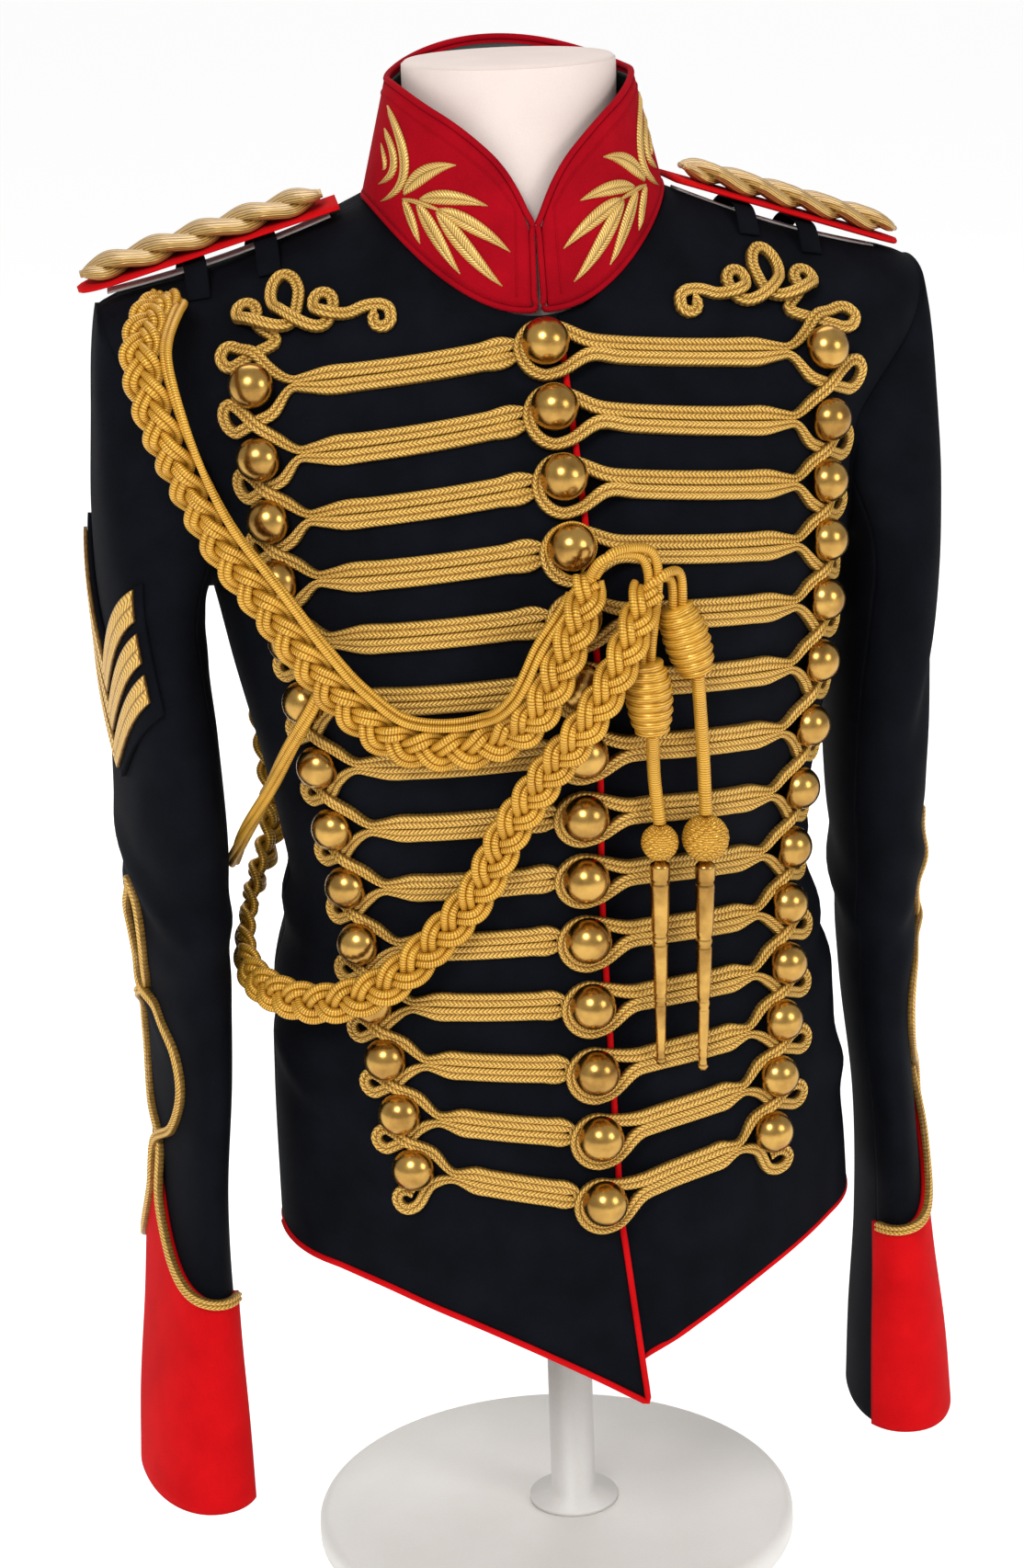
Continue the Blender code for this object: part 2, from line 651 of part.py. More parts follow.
def knot_nodes(side):
    """Path of a sleeve's braid up the cuff, round the knot and down; columns around, along, out."""
    low, high = SLEEVE_OVER + FELT + OVER + 3 * SEAM, SLEEVE_OVER + SEAM
    shares = np.linspace(1.0, 0.14, 6)
    whole = sleeve_round(side, CUFF_LOW)
    up = [(f * (FRONT_SEAM * whole - 0.004), cuff_edge(f), low) for f in shares]
    back = [(-f * (BACK_SEAM * whole - 0.004), cuff_edge(f), low) for f in shares[::-1]]
    loops = [(a, q, high) for a, q in KNOT]
    mirrored = [(-a, q, high + (CROSS_LIFT if abs(a) < 0.004 else 0.0)) for a, q in KNOT[::-1]]
    return up + loops + [(0.0, KNOT_TOP, high)] + mirrored + back


def collection(name):
    """A new collection in the scene."""
    made = bpy.data.collections.new(name)
    bpy.context.scene.collection.children.link(made)
    return made


def finish(name, colour, rough, metal=0.0):
    """A plain material."""
    made = bpy.data.materials.new(name)
    made.use_nodes = True
    shader = made.node_tree.nodes["Principled BSDF"]
    shader.inputs["Base Color"].default_value = (*colour, 1.0)
    shader.inputs["Roughness"].default_value = rough
    shader.inputs["Metallic"].default_value = metal
    return made


FINISHES = {
    "wool": ((0.012, 0.013, 0.022), 0.95, 0.0),
    "scarlet": ((0.55, 0.02, 0.02), 0.90, 0.0),
    "crimson": ((0.36, 0.02, 0.03), 0.90, 0.0),
    "lining": ((0.020, 0.030, 0.024), 0.80, 0.0),
    "lace": ((0.68, 0.44, 0.14), 0.45, 0.3),
    "cord": ((0.75, 0.43, 0.05), 0.50, 0.2),
    "brass": ((0.60, 0.42, 0.16), 0.30, 1.0),
    "linen": ((0.80, 0.72, 0.68), 0.85, 0.0),
    "stand": ((0.75, 0.73, 0.70), 0.50, 0.0),
}


def place(name, data, look):
    """An object of the part with its own material."""
    made = bpy.data.objects.new(name, data)
    bpy.data.collections[COLLECTION].objects.link(made)
    colour, rough, metal = FINISHES[look]
    data.materials.clear()
    data.materials.append(finish(name, colour, rough, metal))
    return made


def mesh_of(name, points, faces):
    """A mesh from points and faces."""
    mesh = bpy.data.meshes.new(name)
    mesh.from_pydata([tuple(p) for p in points], [], faces)
    mesh.update()
    return mesh


def shell(name, outer, inner, look):
    """Cloth: an outer and an inner grid, columns to the wearer's left and rows upward, closed at the rim.

    Both faces follow the garment's own normals, so that two pieces meet squarely at their seam.
    """
    rows, columns = outer.shape[:2]
    count = rows * columns
    spots = outer.reshape(-1, 3)
    faces = []
    for r in range(rows - 1):
        for c in range(columns - 1):
            a = r * columns + c
            b, d, e = a + 1, a + columns, a + columns + 1
            halves = ((a, b, e), (a, e, d))
            if np.linalg.norm(spots[b] - spots[d]) < np.linalg.norm(spots[a] - spots[e]):
                halves = ((a, b, d), (b, e, d))
            for half in halves:
                faces.append(half)
                faces.append(tuple(count + k for k in reversed(half)))
    low = list(range(columns))
    right = [r * columns + columns - 1 for r in range(rows)]
    high = [(rows - 1) * columns + c for c in reversed(range(columns))]
    left = [r * columns for r in reversed(range(rows))]
    for line in (low, right, high, left):
        for i, j in zip(line[:-1], line[1:]):
            faces.append((j, i, count + i, count + j))
    points = np.concatenate([spots, inner.reshape(-1, 3)])
    return place(name, mesh_of(name, points, faces), look)


def swept(name, centres, outs, profile, look, wide=None):
    """A profile of (sideways, outward) points carried along a path, closed at both ends."""
    centres = np.asarray(centres)
    tangents = np.gradient(centres, axis=0)
    sides = np.cross(outs, tangents)
    sides /= np.linalg.norm(sides, axis=1, keepdims=True)
    scale = np.ones(len(centres)) if wide is None else wide
    rings = [
        [centres[i] + sides[i] * (u * scale[i]) + outs[i] * w for u, w in profile(i)]
        for i in range(len(centres))
    ]
    count = len(rings[0])
    faces = [tuple(range(count))[::-1]]
    for i in range(len(rings) - 1):
        for k in range(count):
            j = (k + 1) % count
            faces.append((i * count + k, i * count + j, (i + 1) * count + j, (i + 1) * count + k))
    last = (len(rings) - 1) * count
    faces.append(tuple(last + k for k in range(count)))
    return place(name, mesh_of(name, [p for ring in rings for p in ring], faces), look)


def flat_braid(_):
    """Section of a low braid, as shares of its half width and heights."""
    return ((-1.0, 0.0), (1.0, 0.0), (0.0, BRAID_WALL))


def tube(name, points, radius, look, resolution=2, cyclic=False):
    """A round cord or piping on a path of points."""
    data = bpy.data.curves.new(name, "CURVE")
    data.dimensions = "3D"
    line = data.splines.new("POLY")
    line.points.add(len(points) - 1)
    for spot, target in zip(points, line.points):
        target.co = (*spot, 1.0)
    line.use_cyclic_u = cyclic
    data.bevel_depth = radius
    data.bevel_resolution = resolution
    data.use_fill_caps = not cyclic
    return place(name, data, look)


def turned(name, profile):
    """A profile of (radius, height) points turned about +Z; its ends are on the axis."""
    mesh = bpy.data.meshes.new(name)
    mesh.from_pydata([(r, 0.0, z) for r, z in profile], [(i, i + 1) for i in range(len(profile) - 1)], [])
    return mesh


def turn_modifier(made, steps, flip=False):
    """Turns an object's profile once about +Z."""
    screw = made.modifiers.new("turn", "SCREW")
    screw.steps = steps
    screw.render_steps = steps
    screw.use_merge_vertices = True
    screw.merge_threshold = 0.00005
    screw.use_normal_calculate = True
    screw.use_normal_flip = flip


def standing(spot, normal):
    """A placing with +Z along a normal."""
    turn = Vector((0.0, 0.0, 1.0)).rotation_difference(Vector(normal))
    return Matrix.Translation(Vector(spot)) @ turn.to_matrix().to_4x4()


def ball_profile():
    """Profile of a front button: a shank that widens into a ball."""
    angles = np.radians((-12.0, 32.0, 64.0))
    ball = [(FRONT_BALL * math.cos(a), BALL_MIDDLE + FRONT_BALL * math.sin(a)) for a in angles]
    return [(0.0, BUTTON_FOOT), (SHANK, BUTTON_FOOT)] + ball + [(0.0, BALL_MIDDLE + FRONT_BALL)]


def dome_profile():
    """Profile of an outer button: a shank sunk in the cloth's wall and a dome above the braids."""
    angles = np.radians((12.0, 55.0))
    dome = [(OUTER_BALL * math.cos(a), DOME_FOOT + DOME_HIGH * math.sin(a)) for a in angles]
    foot = [(0.0, SHANK_SUNK), (OUTER_SHANK, SHANK_SUNK), (OUTER_SHANK, DOME_FOOT)]
    return foot + dome + [(0.0, DOME_FOOT + DOME_HIGH)]


def build_body():
    """The fronts and the back."""
    right = [front_grid(-1, lap, lambda d: 0.0, out)[:, ::-1] for out in (0.0, -WOOL)]
    left = [front_grid(1, underlap, under_right, out) for out in (0.0, -WOOL)]
    sew_outer_buttons(shell("front_right", *right, "wool"), -1, "right")
    sew_outer_buttons(shell("front_left", *left, "wool"), 1, "left")
    shell("back", *[back_grid(out) for out in (0.0, -WOOL)], "wool")


def build_sleeves():
    """The outer and under pieces of both sleeves and the cuff facings."""
    stations = np.concatenate([np.linspace(0.0, 0.15, 5), np.linspace(0.21, SLEEVE_END, 6)])
    for side, word in ((-1, "right"), (1, "left")):
        outer = [sleeve_grid(side, -BACK_SEAM, FRONT_SEAM, stations, 12, out) for out in (0.0, -WOOL)]
        under = [sleeve_grid(side, FRONT_SEAM, 1 - BACK_SEAM, stations, 7, out) for out in (0.0, -WOOL)]
        shell(f"sleeve_outer_{word}", *outer, "wool")
        shell(f"sleeve_under_{word}", *under, "wool")
        shell(f"cuff_{word}", cuff_grid(side, FELT), cuff_grid(side, 0.0), "scarlet")


def collar_edge_path():
    """Closed path of the piping round the collar, just outside its edges."""
    start = math.radians(COLLAR_GAP_DEG)
    inside = 0.06
    share = np.linspace(-1.0, 1.0, COLLAR_COLUMNS)
    turns = math.pi + (math.pi - start) * np.sign(share) * np.abs(share) ** 0.85
    rim = [(t, 1.0, t, 1.0 - inside) for t in turns]
    rim += [(turns[-1], 0.5, turns[-1] - inside, 0.5)]
    rim += [(t, 0.0, t, inside) for t in turns[::-1]]
    rim += [(turns[0], 0.5, turns[0] + inside, 0.5)]
    edge = np.array([collar_spot(t, k, -COLLAR_WALL / 2) for t, k, _, _ in rim])
    inner = np.array([collar_spot(t, k, -COLLAR_WALL / 2) for _, _, t, k in rim])
    along = np.roll(edge, -1, axis=0) - np.roll(edge, 1, axis=0)
    along /= np.linalg.norm(along, axis=1, keepdims=True)
    away = edge - inner
    away -= along * np.sum(away * along, axis=1, keepdims=True)
    away /= np.linalg.norm(away, axis=1, keepdims=True)
    corners = [0, COLLAR_COLUMNS - 1, COLLAR_COLUMNS + 1, 2 * COLLAR_COLUMNS]
    reach = np.full((len(rim), 1), PIPING + 2 * SEAM)
    reach[corners] *= CORNER_REACH
    return edge + away * reach


def build_collar():
    """The collar, its lining and the piping round its edges."""
    shell("collar", collar_grid(0.0), collar_grid(-COLLAR_WALL), "crimson")
    inset, levels = COLLAR_WALL + SEAM, (0.04, 0.5, 0.95)
    shell("collar_lining", collar_grid(-inset, levels), collar_grid(-inset - LINING_WALL, levels), "lining")
    tube("collar_piping", collar_edge_path(), PIPING, "scarlet", 1, True)


def build_piping():
    """Piping down the right front's edge and along the three hems."""
    beyond = PIPING + 3 * SEAM
    tip = hem(-LAP_TIP)
    heights = [*np.linspace(NECK - 0.006, HEM_LEVEL, 11), *np.linspace(HEM_LEVEL - 0.02, tip + 0.004, 5)]
    edge = [(h, -lap(h) - beyond) for h in heights]
    corner = [(tip - 0.8 * beyond, -LAP_TIP - 0.8 * beyond)]
    bottom = [(hem(d) - beyond, d) for d in np.linspace(-LAP_TIP + 0.006, front_edge(HEM_SIDE) - 0.001, 11)]
    right = [on_body(-1, h, d, PIPING_SET) for h, d in edge + corner + bottom]
    tube("piping_right", right, PIPING, "scarlet", 1)
    reach = np.linspace(LAP_TIP + 0.008, front_edge(HEM_SIDE) - 0.001, 10)
    left = [on_body(1, hem(d) - beyond, d, under_right(d) - WOOL / 2) for d in reach]
    tube("piping_left", left, PIPING, "scarlet", 1)
    back = []
    for f in np.linspace(-0.99, 0.99, 19):
        h = HEM_SIDE - HEM_BACK_DIP * (1 - f * f) - PIPING - SEAM
        d = half_round(h) - abs(f) * (half_round(h) - back_edge(h))
        back.append(on_body(1 if f < 0 else -1, h, d, -WOOL / 2))
    tube("piping_back", back, PIPING, "scarlet", 1)


def board_frame(side):
    """Start, direction, length and upward normal of a shoulder board."""
    start, stop = BOARDS[side] * (side, 1.0, 1.0)
    way = unit(stop - start)
    return start, way, float(np.linalg.norm(stop - start)), unit(np.cross(way, (0.0, side, 0.0)))


def shoulder_height(x, y):
    """Height of the cloth on the shoulder at a place in plan."""
    middle = RING_SAMPLES // 2
    rows = []
    for h in np.linspace(ARM_TOP, NECK, 40):
        points = body_ring(round(h, 6))[0]
        part = points[: middle + 1] if y < points[middle, 1] else points[middle:]
        order = np.argsort(part[:, 1])
        rows.append([np.interp(y, part[order, 1], part[order, k]) for k in (0, 2)])
    rows = np.array(rows)[::-1]
    return float(np.interp(abs(x), rows[:, 0], rows[:, 1]))


def rope_section(share):
    """Section of the twisted cord at a share of its length."""
    angles = np.linspace(0.0, 2 * math.pi, 9)[:-1]
    swell = 1 + ROPE_LOBE * np.cos(2 * (angles - 2 * math.pi * ROPE_TURNS / 2 * share))
    end = math.sqrt(max(0.2, 1 - (2 * share - 1) ** 8))
    wide, high = ROPE_HALF * end * swell, ROPE_HIGH * end * swell
    return list(zip(wide * np.cos(angles), high * np.sin(angles)))


def build_shoulders():
    """Bridles, felt boards and twisted cords on both shoulders."""
    for side, word in ((-1, "right"), (1, "left")):
        start, way, length, up = board_frame(side)
        board = bpy.data.curves.new(f"shoulder_board_{word}", "CURVE")
        board.dimensions = "2D"
        board.fill_mode = "BOTH"
        board.extrude = BOARD_WALL / 2
        line = board.splines.new("POLY")
        turn = np.radians(np.linspace(-90.0, 90.0, 7))
        outline = [(length + BOARD_HALF * (math.cos(t) - 1), BOARD_HALF * math.sin(t)) for t in turn]
        outline += [(0.0, BOARD_HALF), (0.0, -BOARD_HALF)]
        line.points.add(len(outline) - 1)
        for spot, target in zip(outline, line.points):
            target.co = (*spot, 0.0, 1.0)
        line.use_cyclic_u = True
        made = place(f"shoulder_board_{word}", board, "scarlet")
        across = np.cross(up, way)
        made.matrix_world = Matrix(np.column_stack([way, across, up]).tolist()).to_4x4()
        made.location = start
        count = 21
        shares = np.linspace(0.0, 1.0, count)
        middle = ROPE_HIGH * (1 + ROPE_LOBE) + BOARD_WALL / 2 + SEAM
        path = [start + way * (0.006 + (length - 0.010) * k) + up * middle for k in shares]
        outs = np.repeat([up], count, axis=0)
        swept(f"shoulder_cord_{word}", path, outs, lambda i: rope_section(shares[i]), "cord")
        for number, share in enumerate(BRIDLES_AT):
            top = start + way * length * share - up * (BOARD_WALL / 2 + SEAM + BRIDLE_WALL)
            feet = (top[1] - BRIDLE_FOOT, top[1] + BRIDLE_FOOT)
            legs = [(y, shoulder_height(top[0], y) + BRIDLE_OVER[side][number]) for y in feet]
            path = [
                (top[0], legs[0][0], legs[0][1]),
                (top[0], top[1] - BOARD_HALF * 0.85, top[2] - 0.0015),
                (top[0], top[1] - BOARD_HALF * 0.5, top[2]),
                (top[0], top[1] + BOARD_HALF * 0.5, top[2]),
                (top[0], top[1] + BOARD_HALF * 0.85, top[2] - 0.0015),
                (top[0], legs[1][0], legs[1][1]),
            ]
            outs = [unit(up + np.array([0.0, (y - top[1]) * 22.0, 0.0])) for _, y, _ in path]
            half = BRIDLE / 2
            strap = ((-half, 0.0), (half, 0.0), (half, BRIDLE_WALL), (-half, BRIDLE_WALL))
            swept(f"shoulder_bridle_{word}_{number + 1}", path, np.array(outs), lambda i: strap, "wool")


def chevron_grid(top, tall, reach, out):
    """Grid of a V on the right sleeve, to the front of its outer line; its arms fall to the middle."""
    rows = []
    for level in (1.0, 0.0):
        line = []
        for a in np.linspace(-reach, reach, 13):
            q = top + CHEVRON_FALL * (1 - abs(a) / reach) + tall * level
            line.append(on_sleeve(-1, q, CHEVRON_MIDDLE + a, out))
        rows.append(line)
    return np.array(rows)


def build_sleeve_trim():
    """The badge of chevrons on the right sleeve and the braid above both cuffs."""
    tall = 2 * CHEVRON_PITCH + CHEVRON_TALL + 2 * BADGE_MARGIN
    under = SLEEVE_OVER + BADGE_WALL
    backing = chevron_grid(CHEVRON_TOP - BADGE_MARGIN, tall, CHEVRON_REACH + BADGE_MARGIN, under)
    below = chevron_grid(CHEVRON_TOP - BADGE_MARGIN, tall, CHEVRON_REACH + BADGE_MARGIN, SLEEVE_OVER)
    shell("chevron_backing", backing, below, "wool")
    for number in range(3):
        top = CHEVRON_TOP + CHEVRON_PITCH * number
        levels = (under + STRIPE_OVER + STRIPE_WALL, under + STRIPE_OVER)
        stripe = [chevron_grid(top, CHEVRON_TALL, CHEVRON_REACH, out) for out in levels]
        shell(f"chevron_stripe_{number + 1}", *stripe, "lace")
    for side, word in ((-1, "right"), (1, "left")):
        nodes = knot_nodes(side)
        frames = [sleeve_frame(side, q, a) for a, q, _ in nodes]
        outs = np.array([normal for _, normal in frames])
        centres = np.array([spot for spot, _ in frames]) + outs * np.array([[out] for _, _, out in nodes])
        halves = np.full(len(nodes), CUFF_BRAID / 2)
        swept(f"sleeve_braid_{word}", centres, outs, flat_braid, "lace", halves)


def route(side, table, step):
    """Centres and outward directions along a route on the body's cloth."""
    rows = []
    for h, d, out in table:
        spot, normal = body_frame(side, h, d)
        rows.append((*(spot + normal * out), *normal))
    fine = spline(rows, step)
    outs = fine[:, 3:] / np.linalg.norm(fine[:, 3:], axis=1, keepdims=True)
    return fine[:, :3], outs


def aside(centres, outs, distance):
    """A path moved sideways from another, along the cloth."""
    sides = np.cross(outs, np.gradient(centres, axis=0))
    return centres + sides / np.linalg.norm(sides, axis=1, keepdims=True) * distance


def plait(name, table):
    """A flat plait on a route, narrower at both ends."""
    centres, outs = route(-1, table, PLAIT_STEP)
    share = np.linspace(-1.0, 1.0, len(centres))
    narrow = 1 - (1 - PLAIT_END) * share ** 6
    angles = np.linspace(0.0, 2 * math.pi, 8)[:-1]
    section = [(PLAIT_HALF * math.cos(a), PLAIT_HIGH * math.sin(a)) for a in angles]
    swept(name, centres, outs, lambda i: section, "cord", narrow)
    return centres, outs


def between(name, low, high, profile, look):
    """A turned piece whose axis runs from one point to another; profile heights are shares of the length."""
    length = float(np.linalg.norm(high - low))
    made = place(name, turned(name, [(r, k * length) for r, k in profile]), look)
    made.matrix_world = standing(low, unit(high - low))
    turn_modifier(made, 8)
    return made


def build_aiguillette():
    """Plaits and plain cords from the shoulder to the chest, and two hanging ends."""
    centres, outs = plait("plait_front", FRONT_ROUTE)
    tube("cord_front", aside(centres, outs, CORD_ASIDE)[1:-2], CORD, "cord")
    plait("plait_under_arm", UNDER_ROUTE)
    tube("cord_under_arm", route(-1, ARM_ROUTE, CORD_STEP)[0], CORD, "cord")
    barrel = [(0.0, 0.0), (KNOT_BARREL * 0.7, 0.0), (KNOT_BARREL, 0.25), (KNOT_BARREL, 0.75),
              (KNOT_BARREL * 0.7, 1.0), (0.0, 1.0)]
    tag = [(0.0, 0.0), (TAG_END * 0.6, 0.0), (TAG_END, 0.04), (TAG_TOP, 0.93),
           (TAG_TOP * 0.7, 1.0), (0.0, 1.0)]
    for number, (table, ball, ends) in enumerate(zip((HANG_1, HANG_2), HANG_BALLS, HANG_ENDS), start=1):
        top, foot, middle = [on_body(1, h, d, out) for h, d, out in table]
        between(f"hanging_knot_{number}", foot, top, barrel, "cord")
        centre = on_body(1, ends[0], ends[1], REST + ball)
        below = on_body(1, ends[2], ends[3], TAG_OUT)
        way = unit(centre - below)
        start = foot - unit(foot - middle) * KNOT_SPACE
        stop = centre + way * (ball + 2 * SEAM)
        tube(f"hanging_cord_{number}", spline([start, middle, stop], 0.012), HANG_CORD, "cord")
        arc = np.radians((0, 40, 80, 120, 155, 180))
        globe = [(ball * math.sin(a), 0.5 - 0.5 * math.cos(a)) for a in arc]
        between(f"hanging_ball_{number}", centre - way * ball, centre + way * ball, globe, "cord")
        between(f"hanging_tag_{number}", below, centre - way * (ball + SEAM), tag, "brass")


def build_form():
    """The limbless dress form, its pole and its base."""
    loops = []
    for h, clear in FORM_RINGS:
        side, far = quarter(h), half_round(h)
        quarters = FORM_SIDES // 4 + 1
        reach = np.concatenate([np.linspace(0.0, side, quarters), np.linspace(side, far, quarters)[1:]])
        deep = [-clear - FORM_FRONT_EXTRA * (1 - ease(d / FORM_FRONT_WIDE)) for d in reach]
        left = [on_body(1, h, d, out) for d, out in zip(reach, deep)]
        right = [on_body(-1, h, d, out) for d, out in zip(reach[-2:0:-1], deep[-2:0:-1])]
        loops.append(np.array(left + right))
    loops[0][:, 2] = FORM_BOTTOM
    angles = np.linspace(0.0, 2 * math.pi, FORM_SIDES + 1)[:-1]
    front_z, side_z, back_z = BODY_RINGS[-1, :3]
    line = side_z + (np.where(np.cos(angles) > 0, front_z, back_z) - side_z) * np.cos(angles) ** 2
    neck = ((line - FORM_NECK_BELOW, FORM_NECK_FOOT), (line * 0 + 0.785, 1.0),
            (line * 0 + FORM_NECK_TOP - 0.003, 1.0), (line * 0 + FORM_NECK_TOP, 0.95))
    for z, share in neck:
        x, y = FORM_NECK_HALF * share * np.sin(angles), -FORM_NECK_DEEP * share * np.cos(angles)
        loops.append(np.column_stack([x, y, z]))
    faces = [tuple(range(FORM_SIDES))[::-1]]
    for r in range(len(loops) - 1):
        for k in range(FORM_SIDES):
            j = (k + 1) % FORM_SIDES
            a, b = r * FORM_SIDES, (r + 1) * FORM_SIDES
            faces.append((a + k, a + j, b + j, b + k))
    faces.append(tuple((len(loops) - 1) * FORM_SIDES + k for k in range(FORM_SIDES)))
    place("dress_form", mesh_of("dress_form", np.concatenate(loops), faces), "linen")
    foot = LEAN * (LEAN_FROM - FORM_BOTTOM)
    pole_low, pole_high = BASE_WALL + SEAM, FORM_BOTTOM - SEAM
    rod = [(0.0, pole_high), (POLE, pole_high), (POLE, pole_low), (0.0, pole_low)]
    pole = place("stand_pole", turned("stand_pole", rod), "stand")
    pole.location.x = foot
    turn_modifier(pole, 16, True)
    edge = BASE_WALL * 0.45
    rim = [(0.0, 0.0), (BASE, 0.0), (BASE, BASE_WALL - edge), (BASE - edge, BASE_WALL), (0.0, BASE_WALL)]
    base = place("stand_base", turned("stand_base", rim), "stand")
    turn_modifier(base, 40)


def sew_outer_buttons(front, side, word):
    """Joins a front's fourteen outer buttons to it."""
    knobs = bpy.data.collections.new(f"outer_buttons_{word}")
    bpy.data.collections[CUTTERS].children.link(knobs)
    for row in range(ROWS):
        _, h, d = row_at(row)
        knob = bpy.data.objects.new(f"outer_button_{word}_{row + 1}", turned("knob", dome_profile()))
        knobs.objects.link(knob)
        knob.matrix_world = standing(*body_frame(side, h, d))
        turn_modifier(knob, OUTER_STEPS)
        knob.hide_render = True
        knob.display_type = "WIRE"
    join = front.modifiers.new("outer_buttons", "BOOLEAN")
    join.operation = "UNION"
    join.operand_type = "COLLECTION"
    join.collection = knobs
    join.solver = "EXACT"


def build_lacing():
    """Each side's braid and the front buttons."""
    for side, word in ((-1, "right"), (1, "left")):
        centres, outs, halves = braid_on_body(side, lacing_nodes(side))
        swept(f"lacing_{word}", centres, outs, flat_braid, "lace", halves)
    for row in range(ROWS):
        button = place(f"front_button_{row + 1:02d}", turned("button", ball_profile()), "brass")
        button.matrix_world = standing(*body_frame(-1, row_at(row)[0], 0.0))
        turn_modifier(button, BUTTON_STEPS)


def main():
    """Builds every piece."""
    for old in list(bpy.data.objects):
        bpy.data.objects.remove(old, do_unlink=True)
    collection(COLLECTION)
    collection(CUTTERS)
    build_body()
    build_sleeves()
    build_collar()
    build_piping()
    build_lacing()
    build_shoulders()
    build_sleeve_trim()
    build_aiguillette()
    build_form()


main()
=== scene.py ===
"""Looks of a full-dress military jacket with a laced chest, worn by a limbless dress form on a round base.

The jacket faces -Y, the wearer's left is +X, up is +Z and the floor is z = 0. Every surface is read from the
same rings and routes as the solids, so that each piece lies where its node is. Sizes are in metres.
"""

from __future__ import annotations

import json
import logging
import math
from dataclasses import dataclass, field
from enum import Enum
from typing import Any

import bpy
import numpy as np
from mathutils import Matrix

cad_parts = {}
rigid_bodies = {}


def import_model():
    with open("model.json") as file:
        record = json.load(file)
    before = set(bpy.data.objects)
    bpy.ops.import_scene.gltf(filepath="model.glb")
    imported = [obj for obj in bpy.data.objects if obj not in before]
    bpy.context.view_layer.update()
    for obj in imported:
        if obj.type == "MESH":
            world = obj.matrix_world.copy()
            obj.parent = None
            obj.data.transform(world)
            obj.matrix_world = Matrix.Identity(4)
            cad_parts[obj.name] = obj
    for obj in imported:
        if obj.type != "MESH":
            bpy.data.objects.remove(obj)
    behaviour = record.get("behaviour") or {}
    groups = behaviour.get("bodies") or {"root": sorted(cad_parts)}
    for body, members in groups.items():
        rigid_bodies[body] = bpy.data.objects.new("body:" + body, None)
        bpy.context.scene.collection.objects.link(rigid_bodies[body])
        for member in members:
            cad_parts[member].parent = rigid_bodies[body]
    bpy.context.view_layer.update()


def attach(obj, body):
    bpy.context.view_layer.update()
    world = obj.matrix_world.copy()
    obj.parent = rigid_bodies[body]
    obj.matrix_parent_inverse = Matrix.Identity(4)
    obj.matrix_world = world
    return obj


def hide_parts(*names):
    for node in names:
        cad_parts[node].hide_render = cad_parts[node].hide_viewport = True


LOG = logging.getLogger("jacket")
Array = np.ndarray
join = np.concatenate
Piece = bpy.types.Object
Socket = bpy.types.NodeSocket
Pair = tuple[float, float]
Triple = tuple[float, float, float]
Nodes = list[tuple[float, ...]]
TURN = 2 * math.pi
UP = np.array([0.0, 0.0, 1.0])
PATTERN = "pattern"


class Side(Enum):
    """A side of the wearer; the value is the sign of x there."""

    RIGHT = -1
    LEFT = 1

    @property
    def word(self) -> str:
        """The side's name in the names of nodes."""
        return self.name.lower()


class Slot(Enum):
    """The record's material slots."""

    WOOL = "wool"
    SCARLET = "scarlet"
    CRIMSON = "crimson"
    LINING = "lining"
    LACE = "lace"
    CORD = "cord"
    BRASS = "brass"
    LINEN = "linen"
    STAND = "stand"


def table(*lines: tuple[float, ...]) -> Any:
    """A dataclass field that holds a table of numbers, a row for each line."""
    return field(default_factory=lambda: np.array(lines, float))


def evenly(count: int) -> Array:
    """Even values from 0 to 1."""
    return np.linspace(0.0, 1.0, count)


def circle(points: int) -> Array:
    """Angles of even points round a circle."""
    return np.linspace(0.0, TURN, points + 1)[:-1]


def ease(t: Array | float) -> Array:
    """A smooth step from 0 to 1: 3 t squared less 2 t cubed."""
    t = np.clip(t, 0.0, 1.0)
    return t * t * (3 - 2 * t)


def unit(vectors: Array) -> Array:
    """Vectors at length one."""
    return vectors / np.maximum(np.linalg.norm(vectors, axis=-1, keepdims=True), 1e-12)


def read_curve(rows: Array, at: Array) -> Array:
    """Rows of a table read on a smooth curve: a cubic between rows, with slopes from the rows beside them.

    Args:
        rows: The table; its first column rises.
        at: Values of the first column.

    Returns:
        One row of the table's columns for each value.
    """
    at = np.asarray(at, float)
    knots = rows[:, 0]
    slopes = np.gradient(rows, knots, axis=0)
    i = np.clip(np.searchsorted(knots, at) - 1, 0, len(knots) - 2)
    span = (knots[i + 1] - knots[i])[..., None]
    t = (at - knots[i])[..., None] / span
    return (
        rows[i] * (1 + 2 * t) * (1 - t) ** 2
        + rows[i + 1] * t * t * (3 - 2 * t)
        + span * slopes[i] * t * (1 - t) ** 2
        - span * slopes[i + 1] * t * t * (1 - t)
    )


def smooth_path(nodes: Array, step: float, places: int = 3) -> Array:
    """Rows at about one step along a smooth curve through nodes.

    Args:
        nodes: Rows whose first columns are a place.
        step: Distance between the rows that come back.
        places: How many columns make the place.

    Returns:
        The rows, evenly spread along the nodes' running length.
    """
    nodes = np.asarray(nodes, float)
    gaps = np.linalg.norm(np.diff(nodes[:, :places], axis=0), axis=1)
    knots = join([[0.0], np.cumsum(gaps)])
    count = max(2, int(round(knots[-1] / step)))
    return read_curve(np.column_stack([knots, nodes]), np.linspace(0.0, knots[-1], count + 1))[:, 1:]


def smooth_route(points: Array, outs: Array, step: float) -> tuple[Array, Array]:
    """A smooth path through points, and the outward directions along it."""
    fine = smooth_path(np.column_stack([points, outs]), step)
    return fine[:, :3], unit(fine[:, 3:])


